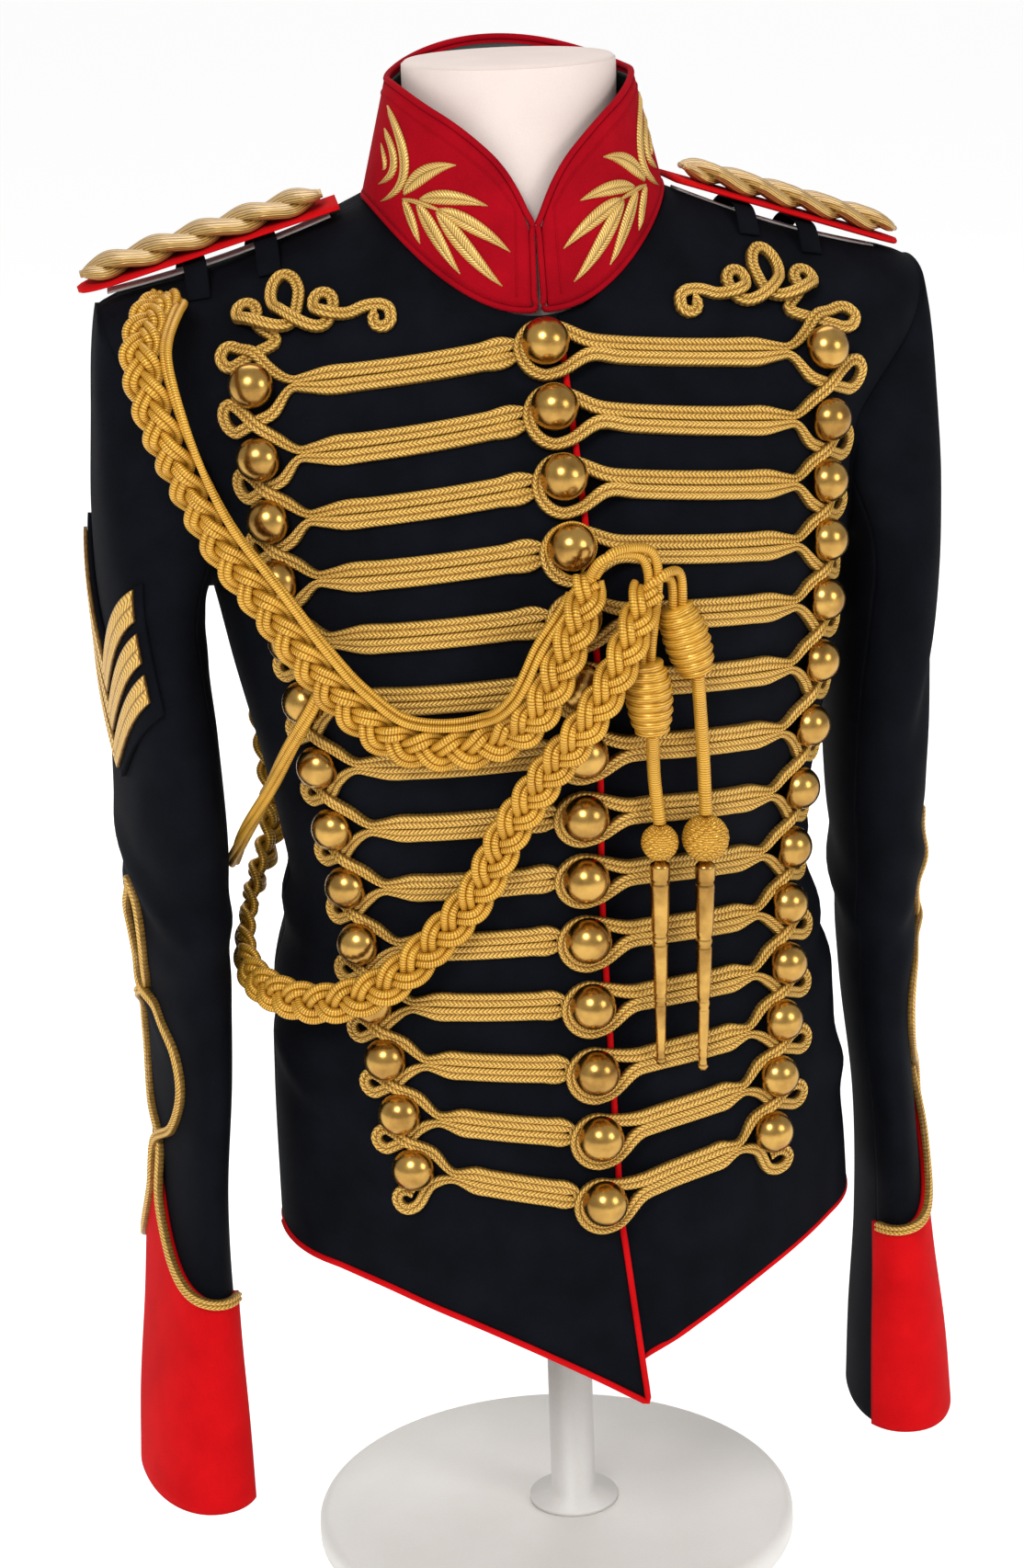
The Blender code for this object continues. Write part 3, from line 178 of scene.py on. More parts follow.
def spread(rings: Array, shares: int) -> tuple[Array, Array]:
    """Rings read again at even shares of each one's length.

    Args:
        rings: A row of points for each ring.
        shares: How many points each ring gets.

    Returns:
        The rings, and the running length along each as it was given.
    """
    steps = np.linalg.norm(np.diff(rings, axis=1), axis=2)
    lengths = join([np.zeros((len(rings), 1)), np.cumsum(steps, axis=1)], axis=1)
    share = evenly(shares)
    even = [np.column_stack([np.interp(share * line[-1], line, ring[:, k]) for k in range(3)])
            for line, ring in zip(lengths, rings)]
    return np.array(even), lengths


def running(points: Array) -> Array:
    """Running length along a path of points."""
    return join([[0.0], np.cumsum(np.linalg.norm(np.diff(points, axis=0), axis=1))])


def path_length(points: Array) -> float:
    """Whole length of a path of points."""
    return round(float(running(points)[-1]), 4)


def grid_area(points: Array) -> float:
    """Area of a grid of points: half the product of the diagonals of each four-sided face."""
    first, second = points[1:, 1:] - points[:-1, :-1], points[1:, :-1] - points[:-1, 1:]
    return round(float(0.5 * np.linalg.norm(np.cross(first, second), axis=-1).sum()), 5)


def read_grid(values: Array, row: Array, column: Array) -> Array:
    """A grid of vectors read between its points: the mean of four corners, weighed by nearness."""
    row = np.clip(row, 0.0, values.shape[0] - 1.000001)
    column = np.clip(column, 0.0, values.shape[1] - 1.000001)
    i, j = row.astype(int), column.astype(int)
    u, v = (row - i)[..., None], (column - j)[..., None]
    low = values[i, j] * (1 - v) + values[i, j + 1] * v
    high = values[i + 1, j] * (1 - v) + values[i + 1, j + 1] * v
    return low * (1 - u) + high * u


def folds(rows: Array, side: int, along: Array, around: Array) -> Array:
    """Height of the cloth's folds: each is a ridge with a shallow hollow on both sides, fading at its ends.

    The height is depth times (1 - x squared) times the bell of x, times the bell of y, where x is the
    distance across the fold in its widths and y the distance along it in its lengths.

    Args:
        rows: Columns side, along, around, length, width, slant in degrees, depth.
        side: Sign of the wearer's side.
        along: First coordinate of the points on the cloth.
        around: Second coordinate.

    Returns:
        The height at each point.
    """
    total = np.zeros(np.broadcast(along, around).shape)
    for _, up, out, length, width, slant, depth in rows[rows[:, 0] == side]:
        c, s = math.cos(math.radians(slant)), math.sin(math.radians(slant))
        y = ((around - out) * c + (along - up) * s) / length
        x = ((along - up) * c - (around - out) * s) / width
        total = total + depth * (1 - x * x) * np.exp(-0.5 * x * x - y * y)
    return total


def add_object(name: str, data: Any) -> Piece:
    """Makes an object and links it to the scene."""
    made = bpy.data.objects.new(name, data)
    bpy.context.scene.collection.objects.link(made)
    return made


def pose(right: Array, up: Array, back: Array, spot: Array) -> Matrix:
    """The matrix of an object from its three directions and its place."""
    return Matrix(np.column_stack([right, up, back, spot]).tolist() + [[0.0, 0.0, 0.0, 1.0]])


class Surface:
    """Points, faces and pattern coordinates of one piece, gathered grid by grid."""

    def __init__(self) -> None:
        """Starts with nothing."""
        self.points: list[Array] = []
        self.quads: list[Array] = []
        self.quad_marks: list[Array] = []
        self.fans: list[Array] = []
        self.count = 0
        self.area = 0.0

    def _hold(self, points: Array) -> int:
        """Keeps points and returns the number of the first."""
        start = self.count
        self.points.append(points.reshape(-1, 3))
        self.count += self.points[-1].shape[0]
        return start

    def grid(self, points: Array, along: Array, across: Array, wrap: bool = False, flip: bool = False) -> int:
        """Adds a grid of four-sided faces.

        Args:
            points: Array of rows, columns and xyz.
            along: Pattern coordinate of the rows, or of each point.
            across: Pattern coordinate of the columns, one more than the columns if the grid wraps.
            wrap: Whether the last column joins the first.
            flip: Whether the faces look the other way.

        Returns:
            Number of the grid's first point.
        """
        rows, columns = points.shape[:2]
        start = self._hold(points)
        wide = columns if wrap else columns - 1
        i, j = np.meshgrid(np.arange(rows - 1), np.arange(wide), indexing="ij")
        k = (j + 1) % columns
        corners = [i * columns + j, i * columns + k, (i + 1) * columns + k, (i + 1) * columns + j]
        along = np.asarray(along, float)
        along = along[:, None] if along.ndim == 1 else along
        shape = (rows, wide + 1)
        marks = np.stack([np.broadcast_to(along, shape), np.broadcast_to(across, shape)], axis=-1)
        places = [marks[i, j], marks[i, j + 1], marks[i + 1, j + 1], marks[i + 1, j]]
        faces = np.stack(corners, axis=-1).reshape(-1, 4) + start
        spots = np.stack(places, axis=-2).reshape(-1, 4, 2)
        self.quads.append(faces[:, ::-1] if flip else faces)
        self.quad_marks.append(spots[:, ::-1] if flip else spots)
        return start

    def shell(self, outer: Array, inner: Array, along: Array, across: Array) -> Surface:
        """Adds a thin wall: an outer grid, an inner grid turned round, and a strip along their rims.

        Args:
            outer: Grid of the outer face.
            inner: Grid of the inner face.
            along: Pattern coordinate of the rows.
            across: Pattern coordinate of the columns.

        Returns:
            This surface.
        """
        rows, columns = outer.shape[:2]
        self.area = grid_area(outer)
        first = self.grid(outer, along, across)
        second = self.grid(inner, along, across, flip=True)
        numbers = np.arange(rows * columns).reshape(rows, columns)
        rim = join([numbers[0, :-1], numbers[:-1, -1], numbers[-1, :0:-1], numbers[:0:-1, 0]])
        after = np.roll(rim, -1)
        self.quads.append(np.stack([first + after, first + rim, second + rim, second + after], axis=-1))
        self.quad_marks.append(np.zeros((len(rim), 4, 2)))
        return self

    def tube(self, rings: Array, along: Array, around: Array) -> Surface:
        """Adds rings joined into a tube, closed at both ends by fans about the end rings' middles.

        Args:
            rings: A row of points for each ring.
            along: Pattern coordinate of the rings.
            around: Pattern coordinate round a ring, one more than its points.

        Returns:
            This surface.
        """
        rows, columns = rings.shape[:2]
        start = self.grid(rings, along, around, wrap=True)
        for row, turned_round in ((0, True), (rows - 1, False)):
            middle = self._hold(rings[row].mean(axis=0))
            ring = start + row * columns + np.arange(columns)
            fan = np.stack([ring, np.roll(ring, -1), np.full(columns, middle)], axis=-1)
            self.fans.append(fan[:, ::-1] if turned_round else fan)
        return self

    def cord(self, centres: Array, outs: Array, radius: float, points: int = 9) -> Surface:
        """Adds a round cord along a path; its pattern runs along in metres and around from 0 to 1."""
        angle = circle(points)
        rings = carry(centres, outs, radius * np.cos(angle), radius * np.sin(angle))
        return self.tube(rings, running(centres), evenly(points + 1))

    def lathe(self, profile: Array, spot: Array, axis: Array, points: int = 28) -> Surface:
        """Adds a turned shape; its pattern runs along the profile in metres and around from 0 to 1."""
        return self.tube(turned(profile, spot, axis, points), running(profile), evenly(points + 1))

    def piece(self, name: str, look: bpy.types.Material) -> Piece:
        """Makes the object, with its faces outward: they are turned if the volume comes out negative.

        Args:
            name: The piece's name.
            look: Its material.

        Returns:
            The object, linked to the scene.
        """
        points = join(self.points)
        quads = join(self.quads)
        marks = join(self.quad_marks)
        fans = join(self.fans) if self.fans else np.zeros((0, 3), int)
        a, b, c, d = (points[quads[:, k]] for k in range(4))
        volume = np.sum(a * np.cross(b, c)) + np.sum(a * np.cross(c, d))
        volume += np.sum(points[fans[:, 0]] * np.cross(points[fans[:, 1]], points[fans[:, 2]]))
        if volume < 0:
            quads, marks, fans = quads[:, ::-1], marks[:, ::-1], fans[:, ::-1]
        mesh = bpy.data.meshes.new(name)
        mesh.vertices.add(len(points))
        mesh.vertices.foreach_set("co", points.astype(np.float32).ravel())
        loops = join([quads.ravel(), fans.ravel()]).astype(np.int32)
        mesh.loops.add(len(loops))
        mesh.loops.foreach_set("vertex_index", loops)
        totals = join([np.full(len(quads), 4), np.full(len(fans), 3)]).astype(np.int32)
        mesh.polygons.add(len(totals))
        starts = join([[0], np.cumsum(totals)[:-1]]).astype(np.int32)
        mesh.polygons.foreach_set("loop_start", starts)
        mesh.polygons.foreach_set("use_smooth", np.ones(len(totals), bool))
        layer = mesh.uv_layers.new(name=PATTERN)
        spots = join([marks.reshape(-1, 2), np.zeros((fans.size, 2))])
        layer.data.foreach_set("uv", spots.astype(np.float32).ravel())
        mesh.update(calc_edges=True)
        mesh.materials.append(look)
        return add_object(name, mesh)

    def settle(self, name: str, dress: Dress, *nodes: str) -> Piece:
        """Makes the piece and puts it on the frame.

        Args:
            name: The piece's name.
            dress: Its finish.
            nodes: The frame's nodes that it stands for.

        Returns:
            The piece.
        """
        piece = self.piece(name, dress.material())
        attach(piece, "root")
        if nodes:
            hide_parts(*nodes)
        LOG.info("built %s for %s", name, ", ".join(nodes) or "the looks alone")
        return piece

    def settle_sheet(self, name: str, dress: Dress, node: str, flat: Pair,
                     held: str = "hung", rests_on: str = "dress_form") -> None:
        """Settles a sheet of cloth."""
        piece = self.settle(name, dress, node)


def declare_cord(piece: Piece, path: Array, thick: float, **told: Any) -> None:
    """Works out the length of a cord's middle line, and keeps nothing.

    Args:
        piece: The cord's piece; not used.
        path: Its middle line.
        thick: Its thickness; not used.
        told: What differs from a cord of medium stiffness that hangs between two places on the object; not
            used.
    """
    path_length(path)


def carry(centres: Array, outs: Array, u: Array, w: Array) -> Array:
    """A profile carried along a path: centre plus u sideways plus w outward.

    Args:
        centres: Points of the path.
        outs: Outward directions at those points.
        u: Sideways distances of the profile, for all rows or for each.
        w: Outward distances.

    Returns:
        A grid with a row for each point of the path.
    """
    tangents = unit(np.gradient(centres, axis=0))
    sides = unit(np.cross(outs, tangents))
    ups = unit(np.cross(tangents, sides))
    u, w = (np.broadcast_to(k, (len(centres), np.shape(k)[-1])) for k in (u, w))
    return centres[:, None] + sides[:, None] * u[..., None] + ups[:, None] * w[..., None]


def aside(centres: Array, outs: Array, sideways: Array | float, outward: Array | float) -> Array:
    """A path moved sideways and outward from another."""
    sides = unit(np.cross(outs, np.gradient(centres, axis=0)))
    shift = np.broadcast_to(sideways, len(centres))[:, None] * sides
    return centres + shift + np.broadcast_to(outward, len(centres))[:, None] * outs


def turned(profile: Array, spot: Array, axis: Array, points: int) -> Array:
    """A profile turned about an axis: radius times the circle, plus height along the axis.

    Args:
        profile: Columns radius, height.
        spot: Point where the height is 0.
        axis: Direction of the axis.
        points: Points around.

    Returns:
        A grid with a row for each point of the profile.
    """
    axis = unit(np.asarray(axis, float))
    first = unit(np.cross(axis, (0.31, 0.17, 0.93) if abs(axis[2]) < 0.9 else (1.0, 0.0, 0.0)))
    second = np.cross(axis, first)
    angle = circle(points)
    ring = np.cos(angle)[:, None] * first + np.sin(angle)[:, None] * second
    return spot + profile[:, 1, None, None] * axis + profile[:, 0, None, None] * ring


class Weaver:
    """Short words for building a material's nodes."""

    def __init__(self, name: str) -> None:
        """Starts a material with one shader."""
        self.material = bpy.data.materials.new(name)
        self.material.use_nodes = True
        self.tree = self.material.node_tree
        self.shader = self.tree.nodes["Principled BSDF"]

    def node(self, kind: str, inputs: dict[Any, Any], output: Any = 0, **settings: Any) -> Socket:
        """Adds a node.

        Args:
            kind: Its type.
            inputs: Values or sockets for its inputs, by name or number.
            output: Which output comes back.
            settings: Values of its own properties.

        Returns:
            The output.
        """
        made = self.tree.nodes.new(kind)
        for word, value in settings.items():
            setattr(made, word, value)
        for key, value in inputs.items():
            if isinstance(value, Socket):
                self.tree.links.new(value, made.inputs[key])
            else:
                made.inputs[key].default_value = value
        return made.outputs[output]

    def math(self, word: str, first: Any, second: Any = 0.0) -> Socket:
        """One step of arithmetic."""
        return self.node("ShaderNodeMath", {0: first, 1: second}, operation=word)

    def plus(self, first: Any, second: Any) -> Socket:
        """The sum of two values."""
        return self.math("ADD", first, second)

    def times(self, first: Any, second: Any) -> Socket:
        """The product of two values."""
        return self.math("MULTIPLY", first, second)

    def place(self) -> Socket:
        """Object coordinates."""
        return self.node("ShaderNodeTexCoord", {}, "Object")

    def marks(self) -> tuple[Socket, Socket]:
        """The piece's own pattern coordinates, along and across."""
        both = self.node("ShaderNodeUVMap", {}, uv_map=PATTERN)
        split = self.tree.nodes.new("ShaderNodeSeparateXYZ")
        self.tree.links.new(both, split.inputs[0])
        return split.outputs[0], split.outputs[1]

    def noise(self, scale: float, detail: float = 3.0) -> Socket:
        """Cloudy noise on Object coordinates."""
        return self.node("ShaderNodeTexNoise", {"Vector": self.place(), "Scale": scale, "Detail": detail})

    def wave(self, turns: Socket) -> Socket:
        """A wave from 0 to 1 and back for each whole turn."""
        sine = self.math("SINE", self.times(turns, TURN))
        return self.times(self.plus(sine, 1.0), 0.5)

    def blend(self, share: Socket, low: tuple[float, ...], high: tuple[float, ...],
              start: float = 0.0, stop: float = 1.0) -> Socket:
        """A colour between two others by a share."""
        colour = self.node("ShaderNodeValToRGB", {0: share})
        ramp = colour.node.color_ramp
        ramp.elements[0].position, ramp.elements[1].position = start, stop
        ramp.elements[0].color, ramp.elements[1].color = (*low, 1.0), (*high, 1.0)
        return colour

    def relief(self, height: Socket, strength: float, distance: float) -> None:
        """Raises the surface by a height."""
        normal = self.node("ShaderNodeBump", {"Height": height, "Strength": strength, "Distance": distance})
        self.tree.links.new(normal, self.shader.inputs["Normal"])

    def colour(self, socket: Socket) -> None:
        """Gives the shader its colour."""
        self.tree.links.new(socket, self.shader.inputs["Base Color"])

    def rough(self, share: Socket, low: float, high: float) -> None:
        """Gives the shader a roughness between two values by a share."""
        made = self.node("ShaderNodeMapRange", {"Value": share, "To Min": low, "To Max": high})
        self.tree.links.new(made, self.shader.inputs["Roughness"])

    def fixed(self, **values: Any) -> None:
        """Sets constant values on the shader's own sockets; an underscore stands for a space."""
        for word, value in values.items():
            self.shader.inputs[word.replace("_", " ")].default_value = value


@dataclass(frozen=True)
class FeltFinish:
    """Milled wool cloth: a dark and a light tone, a nap of fine fibres and a soft sheen."""

    name: str
    dark: Triple
    light: Triple
    sheen: float
    gloss: float = 0.06
    nap: float = 0.0003
    fibre_scale: float = 1500.0
    tone_scale: float = 38.0

    def material(self) -> bpy.types.Material:
        """Builds the material: tone from coarse noise, nap from fine noise."""
        make = Weaver(self.name)
        fibres = make.noise(self.fibre_scale, 4.0)
        tone = make.plus(make.times(make.noise(self.tone_scale), 0.6), make.times(fibres, 0.4))
        make.colour(make.blend(tone, self.dark, self.light, 0.3, 0.7))
        make.relief(fibres, 0.8, self.nap)
        make.rough(fibres, 0.82, 0.98)
        make.fixed(Sheen_Weight=self.sheen, Sheen_Roughness=0.45, Specular_IOR_Level=self.gloss)
        make.fixed(Sheen_Tint=(*(min(1.0, 6 * c + 0.05) for c in self.light), 1.0))
        return make.material


@dataclass(frozen=True)
class BraidFinish:
    """Flat gold braid of two ribs, each a row of V stitches."""

    name: str = "gold_braid"
    # Painted shade: the dark colour put in the gaps between stitches, in the groove between the ribs and at
    # the rims.
    gap_shade: Triple = (0.12, 0.048, 0.006)
    thread: Triple = (0.8, 0.48, 0.1)
    pitch: float = 0.0022
    slant: float = 0.95

    def material(self) -> bpy.types.Material:
        """Builds the material: stitches slant away from the middle of each rib."""
        make = Weaver(self.name)
        along, across = make.marks()
        rib = make.math("FRACT", make.plus(across, 1.0))
        edge = make.math("ABSOLUTE", make.math("SUBTRACT", make.times(rib, 2.0), 1.0))
        turns = make.plus(make.math("DIVIDE", along, self.pitch), make.times(edge, self.slant))
        stitch = make.wave(turns)
        middle = make.math("MINIMUM", make.math("DIVIDE", make.math("ABSOLUTE", across), 0.16), 1.0)
        rim = make.math("SUBTRACT", 1.0, make.math("POWER", make.math("ABSOLUTE", across), 10.0))
        groove = make.times(middle, rim)
        height = make.times(make.math("POWER", stitch, 0.6), groove)
        shade = make.plus(make.times(height, 0.8), make.times(make.noise(420.0), 0.28))
        # The colour follows the height: painted shade in the stitch gaps, the middle groove and the rims, the
        # thread's gold on the stitch tops, and random tone from noise.
        make.colour(make.blend(shade, self.gap_shade, self.thread, 0.1, 0.62))
        make.relief(height, 0.9, 0.0006)
        make.rough(make.noise(300.0), 0.34, 0.5)
        make.fixed(Metallic=0.3, Specular_IOR_Level=0.5)
        return make.material


@dataclass(frozen=True)
class GimpFinish:
    """Gold thread wound close about a cord, or laid side by side in satin stitch."""

    name: str
    # Painted shade: the dark colour put in the gaps between the threads.
    gap_shade: Triple
    thread: Triple
    pitch: float
    lean: float
    metal: float = 0.34
    lengthwise: bool = False
    # Width of the painted shade along a leaf's vein groove; 0 leaves it out.
    vein_shade_width: float = 0.0

    def material(self) -> bpy.types.Material:
        """Builds the material: threads cross the cord at a lean, or run along it, a little uneven."""
        make = Weaver(self.name)
        along, across = make.marks()
        sway = make.times(make.noise(160.0), 0.7)
        lean = make.times(make.math("ABSOLUTE", across), self.lean)
        first = make.times(across, 2.0) if self.lengthwise else make.math("DIVIDE", along, self.pitch)
        turns = make.plus(make.plus(first, lean), sway)
        thread = make.wave(turns)
        shade = make.plus(make.times(thread, 0.7), make.times(make.noise(90.0), 0.4))
        # Painted shade along the vein groove: darker towards the middle line.
        if self.vein_shade_width:
            beside = make.math("MINIMUM", make.math("DIVIDE", make.math("ABSOLUTE", across), self.vein_shade_width), 1.0)
            shade = make.times(shade, make.plus(make.times(beside, 0.75), 0.25))
        # The colour follows the threads: painted shade between them, the thread's gold on them, and random
        # tone from noise.
        make.colour(make.blend(shade, self.gap_shade, self.thread, 0.12, 0.78))
        make.relief(thread, 0.6, 0.0002)
        make.rough(thread, 0.46, 0.3)
        make.fixed(Metallic=self.metal, Specular_IOR_Level=0.5)
        return make.material


@dataclass(frozen=True)
class BrassFinish:
    """Polished brass with handling marks and a darker bloom."""

    name: str = "button_brass"
    bright: Triple = (0.56, 0.33, 0.085)
    dull: Triple = (0.28, 0.145, 0.035)

    def material(self) -> bpy.types.Material:
        """Builds the material: bloom from coarse noise, fine scratches in the roughness."""
        make = Weaver(self.name)
        bloom = make.noise(70.0, 5.0)
        make.colour(make.blend(bloom, self.dull, self.bright, 0.3, 0.62))
        make.rough(make.noise(260.0, 5.0), 0.16, 0.34)
        make.relief(make.noise(900.0), 0.15, 0.0001)
        make.fixed(Metallic=1.0)
        return make.material


@dataclass(frozen=True)
class PlainFinish:
    """A plain woven or painted surface: two near tones, a weave of a given scale and a roughness."""

    name: str
    dark: Triple
    light: Triple
    weave_scale: float
    roughness: Pair = (0.7, 0.9)
    depth: float = 0.0002

    def material(self) -> bpy.types.Material:
        """Builds the material: tone from coarse noise, weave from fine noise."""
        make = Weaver(self.name)
        weave = make.noise(self.weave_scale, 2.0)
        tone = make.plus(make.times(make.noise(14.0), 0.75), make.times(weave, 0.25))
        make.colour(make.blend(tone, self.dark, self.light, 0.3, 0.7))
        make.relief(weave, 0.4, self.depth)
        make.rough(weave, *self.roughness)
        return make.material


class Dress(Enum):
    """Every finish on the part, with the record's slot that it fills."""

    WOOL = Slot.WOOL, FeltFinish("navy_wool", (0.0016, 0.0019, 0.003), (0.0046, 0.0053, 0.0084), 0.03)
    SCARLET = Slot.SCARLET, FeltFinish("scarlet_cloth", (0.44, 0.002, 0.004), (0.6, 0.0045, 0.0065), 0.03)
    CRIMSON = Slot.CRIMSON, FeltFinish("crimson_cloth", (0.21, 0.0008, 0.005), (0.36, 0.0018, 0.0085), 0.05)
    LINING = Slot.LINING, PlainFinish(
        "collar_lining_satin", (0.01, 0.016, 0.014), (0.02, 0.03, 0.026), 900.0, (0.35, 0.55))
    BRAID = Slot.LACE, BraidFinish()
    # The cord, rope and satin finishes put painted shade in the gaps between their threads.
    CORD = Slot.CORD, GimpFinish("gold_cord", (0.23, 0.092, 0.004), (0.74, 0.4, 0.04), 0.0013, 1.0)
    ROPE = Slot.CORD, GimpFinish(
        "gold_rope", (0.16, 0.075, 0.014), (0.64, 0.4, 0.12), 0.0026, 0.0, lengthwise=True)
    # Satin-stitch leaves, with painted shade between the stitches and along the vein groove.
    SATIN = Slot.LACE, GimpFinish(
        "gold_satin_stitch", (0.26, 0.125, 0.018), (0.78, 0.52, 0.15), 0.0016, 2.2, vein_shade_width=0.22)
    BRASS = Slot.BRASS, BrassFinish()
    LINEN = Slot.LINEN, PlainFinish("form_linen", (0.6, 0.5, 0.455), (0.72, 0.625, 0.575), 1300.0)
    PAINT = Slot.STAND, PlainFinish("stand_paint", (0.66, 0.64, 0.6), (0.74, 0.72, 0.69), 500.0, (0.4, 0.5))
    STRAP = Slot.LINEN, PlainFinish("pale_strap", (0.62, 0.57, 0.54), (0.76, 0.72, 0.69), 1500.0)

    @property
    def slot(self) -> Slot:
        """The record's slot."""
        return self.value[0]

    def material(self) -> bpy.types.Material:
        """The finish's material, built the first time that it is asked for."""
        finish = self.value[1]
        return bpy.data.materials.get(finish.name) or finish.material()


@dataclass
class BodyCloth:
    """The body's outer surface: rings of half ovals from below the hem to the neckline."""

    # Columns: front_z, side_z, back_z, half_width, front_y, back_y, squareness
    rings: Array = table(
        (0.100, 0.100, 0.100, 0.1575, 0.112, 0.105, 2.30),
        (0.220, 0.220, 0.220, 0.1570, 0.110, 0.102, 2.30),
        (0.300, 0.300, 0.300, 0.1545, 0.106, 0.097, 2.30),
        (0.350, 0.350, 0.350, 0.1500, 0.103, 0.091, 2.30),
        (0.405, 0.405, 0.405, 0.1400, 0.101, 0.087, 2.30),
        (0.460, 0.460, 0.460, 0.1470, 0.110, 0.097, 2.30),
        (0.520, 0.520, 0.520, 0.1590, 0.119, 0.108, 2.30),
        (0.565, 0.565, 0.567, 0.1670, 0.117, 0.113, 2.30),
        (0.622, 0.634, 0.645, 0.1840, 0.101, 0.110, 2.25),
        (0.668, 0.711, 0.714, 0.2120, 0.079, 0.090, 2.10),
        (0.690, 0.730, 0.746, 0.1450, 0.0685, 0.071, 2.00),
        (0.704, 0.757, 0.772, 0.0765, 0.0650, 0.060, 2.00),
    )
    # Columns: side, height, distance from the centre front, length, width, slant in degrees, depth
    creases: Array = table(
        (-1, 0.298, 0.158, 0.05, 0.01, 22, 0.0024), (-1, 0.338, 0.176, 0.06, 0.011, -14, -0.0026),
        (-1, 0.388, 0.19, 0.055, 0.01, 10, 0.0026), (-1, 0.566, 0.168, 0.045, 0.012, 62, -0.0022),
        (-1, 0.235, 0.1, 0.045, 0.015, 74, 0.0016), (-1, 0.402, 0.335, 0.07, 0.012, 8, -0.0028),
        (-1, 0.446, 0.385, 0.08, 0.014, -12, 0.0026), (-1, 0.604, 0.365, 0.05, 0.014, 50, -0.0018),
        (-1, 0.262, 0.395, 0.05, 0.016, 82, 0.002), (1, 0.285, 0.164, 0.055, 0.012, -20, 0.0026),
        (1, 0.352, 0.172, 0.055, 0.01, 12, -0.0026), (1, 0.41, 0.186, 0.05, 0.011, -8, 0.0024),
        (1, 0.556, 0.182, 0.045, 0.012, -60, -0.0022), (1, 0.23, 0.066, 0.045, 0.016, 80, 0.0016),
        (1, 0.412, 0.348, 0.075, 0.012, -6, -0.0028), (1, 0.456, 0.402, 0.07, 0.013, 14, 0.0024),
        (1, 0.608, 0.372, 0.05, 0.013, -52, -0.0018), (1, 0.252, 0.36, 0.05, 0.015, -80, 0.002),
    )
    neck: float = 0.704
    lean: float = 0.022
    lean_from: float = 0.69
    side_back: float = 0.015
    side_back_from: Pair = (0.48, 0.14)
    side_back_to: Pair = (0.674, 0.028)
    arm_low: float = 0.565
    arm_top: float = 0.668
    arm_front: float = 0.06
    arm_back: float = 0.058
    ring_samples: int = 241
    height_samples: int = 605
    shares: int = 361

    def __post_init__(self) -> None:
        """Works out the surface and its outward directions on a fine grid of heights and shares of a ring."""
        self.heights = np.linspace(self.rings[0, 0], self.neck, self.height_samples)
        columns = read_curve(self.rings, self.heights)[:, :, None]
        front_z, side_z, back_z, half, front, back, square = np.moveaxis(columns, 1, 0)
        turn = np.linspace(0.0, math.pi, self.ring_samples)[None, :]
        cosine, power = np.cos(turn), 2.0 / square
        ahead = np.abs(cosine) ** power
        high = self.heights[:, None]
        middle = self.side_back * ease((high - self.side_back_from[0]) / self.side_back_from[1])
        middle = middle * (1 - ease((high - self.side_back_to[0]) / self.side_back_to[1]))
        x = half * np.abs(np.sin(turn)) ** power
        y = middle + np.where(cosine > 0, -(front + middle) * ahead, (back - middle) * ahead)
        z = side_z + np.where(cosine > 0, front_z - side_z, back_z - side_z) * cosine ** 2
        self.spots, lengths = spread(np.stack(np.broadcast_arrays(x, y, z), axis=-1), self.shares)
        self.whole, self.to_side = lengths[:, -1], lengths[:, self.ring_samples // 2]
        normals = np.cross(np.gradient(self.spots, axis=1), np.gradient(self.spots, axis=0))
        normals[:, (0, -1), 0] = 0.0
        self.normals = unit(normals)

    def half_round(self, h: Array | float) -> Array:
        """Distance along a ring from the centre front to the centre back."""
        return np.interp(h, self.heights, self.whole)

    def quarter(self, h: Array | float) -> Array:
        """Distance along a ring from the centre front to the side."""
        return np.interp(h, self.heights, self.to_side)

    def place(self, side: int, h: Array, d: Array, out: Array | float = 0.0,
              creased: bool = True) -> tuple[Array, Array]:
        """Points outside the cloth and the outward directions there.

        Args:
            side: Sign of the wearer's side.
            h: Ring heights.
            d: Distances from the centre front towards that side.
            out: Distances outside the cloth.
            creased: Whether the cloth's folds count.

        Returns:
            The points and the directions.
        """
        h, d, out = np.broadcast_arrays(np.asarray(h, float), np.asarray(d, float), np.asarray(out, float))
        row = (h - self.heights[0]) / (self.heights[1] - self.heights[0])
        column = np.abs(d) / self.half_round(h) * (self.shares - 1)
        spot, normal = read_grid(self.spots, row, column), unit(read_grid(self.normals, row, column))
        sign = side * np.where(d < 0, -1.0, 1.0)
        spot[..., 0] *= sign
        normal[..., 0] *= sign
        below = spot[..., 2] < self.lean_from
        normal[..., 2] += np.where(below, self.lean * normal[..., 0], 0.0)
        normal = unit(normal)
        spot[..., 0] += self.lean * np.maximum(0.0, self.lean_from - spot[..., 2])
        lift = out + folds(self.creases, side, h, d) if creased else out
        return spot + normal * lift[..., None], normal

    @property
    def arm_span(self) -> Pair:
        """Height of the armhole's middle, and half of its height."""
        return 0.5 * (self.arm_low + self.arm_top), 0.5 * (self.arm_top - self.arm_low)

    def arm_open(self, h: Array | float) -> Array:
        """How far open the armhole is at a ring, from 0 to 1: a half circle of the height."""
        middle, half = self.arm_span
        u = (np.asarray(h, float) - middle) / half
        return np.sqrt(np.maximum(0.0, 1 - u * u))

    def front_edge(self, h: Array | float) -> Array:
        """Distance from the centre front to the front's side seam, armhole or shoulder seam."""
        return self.quarter(h) - self.arm_front * self.arm_open(h)

    def back_edge(self, h: Array | float) -> Array:
        """The same distance to the back's edge."""
        return self.quarter(h) + self.arm_back * self.arm_open(h)

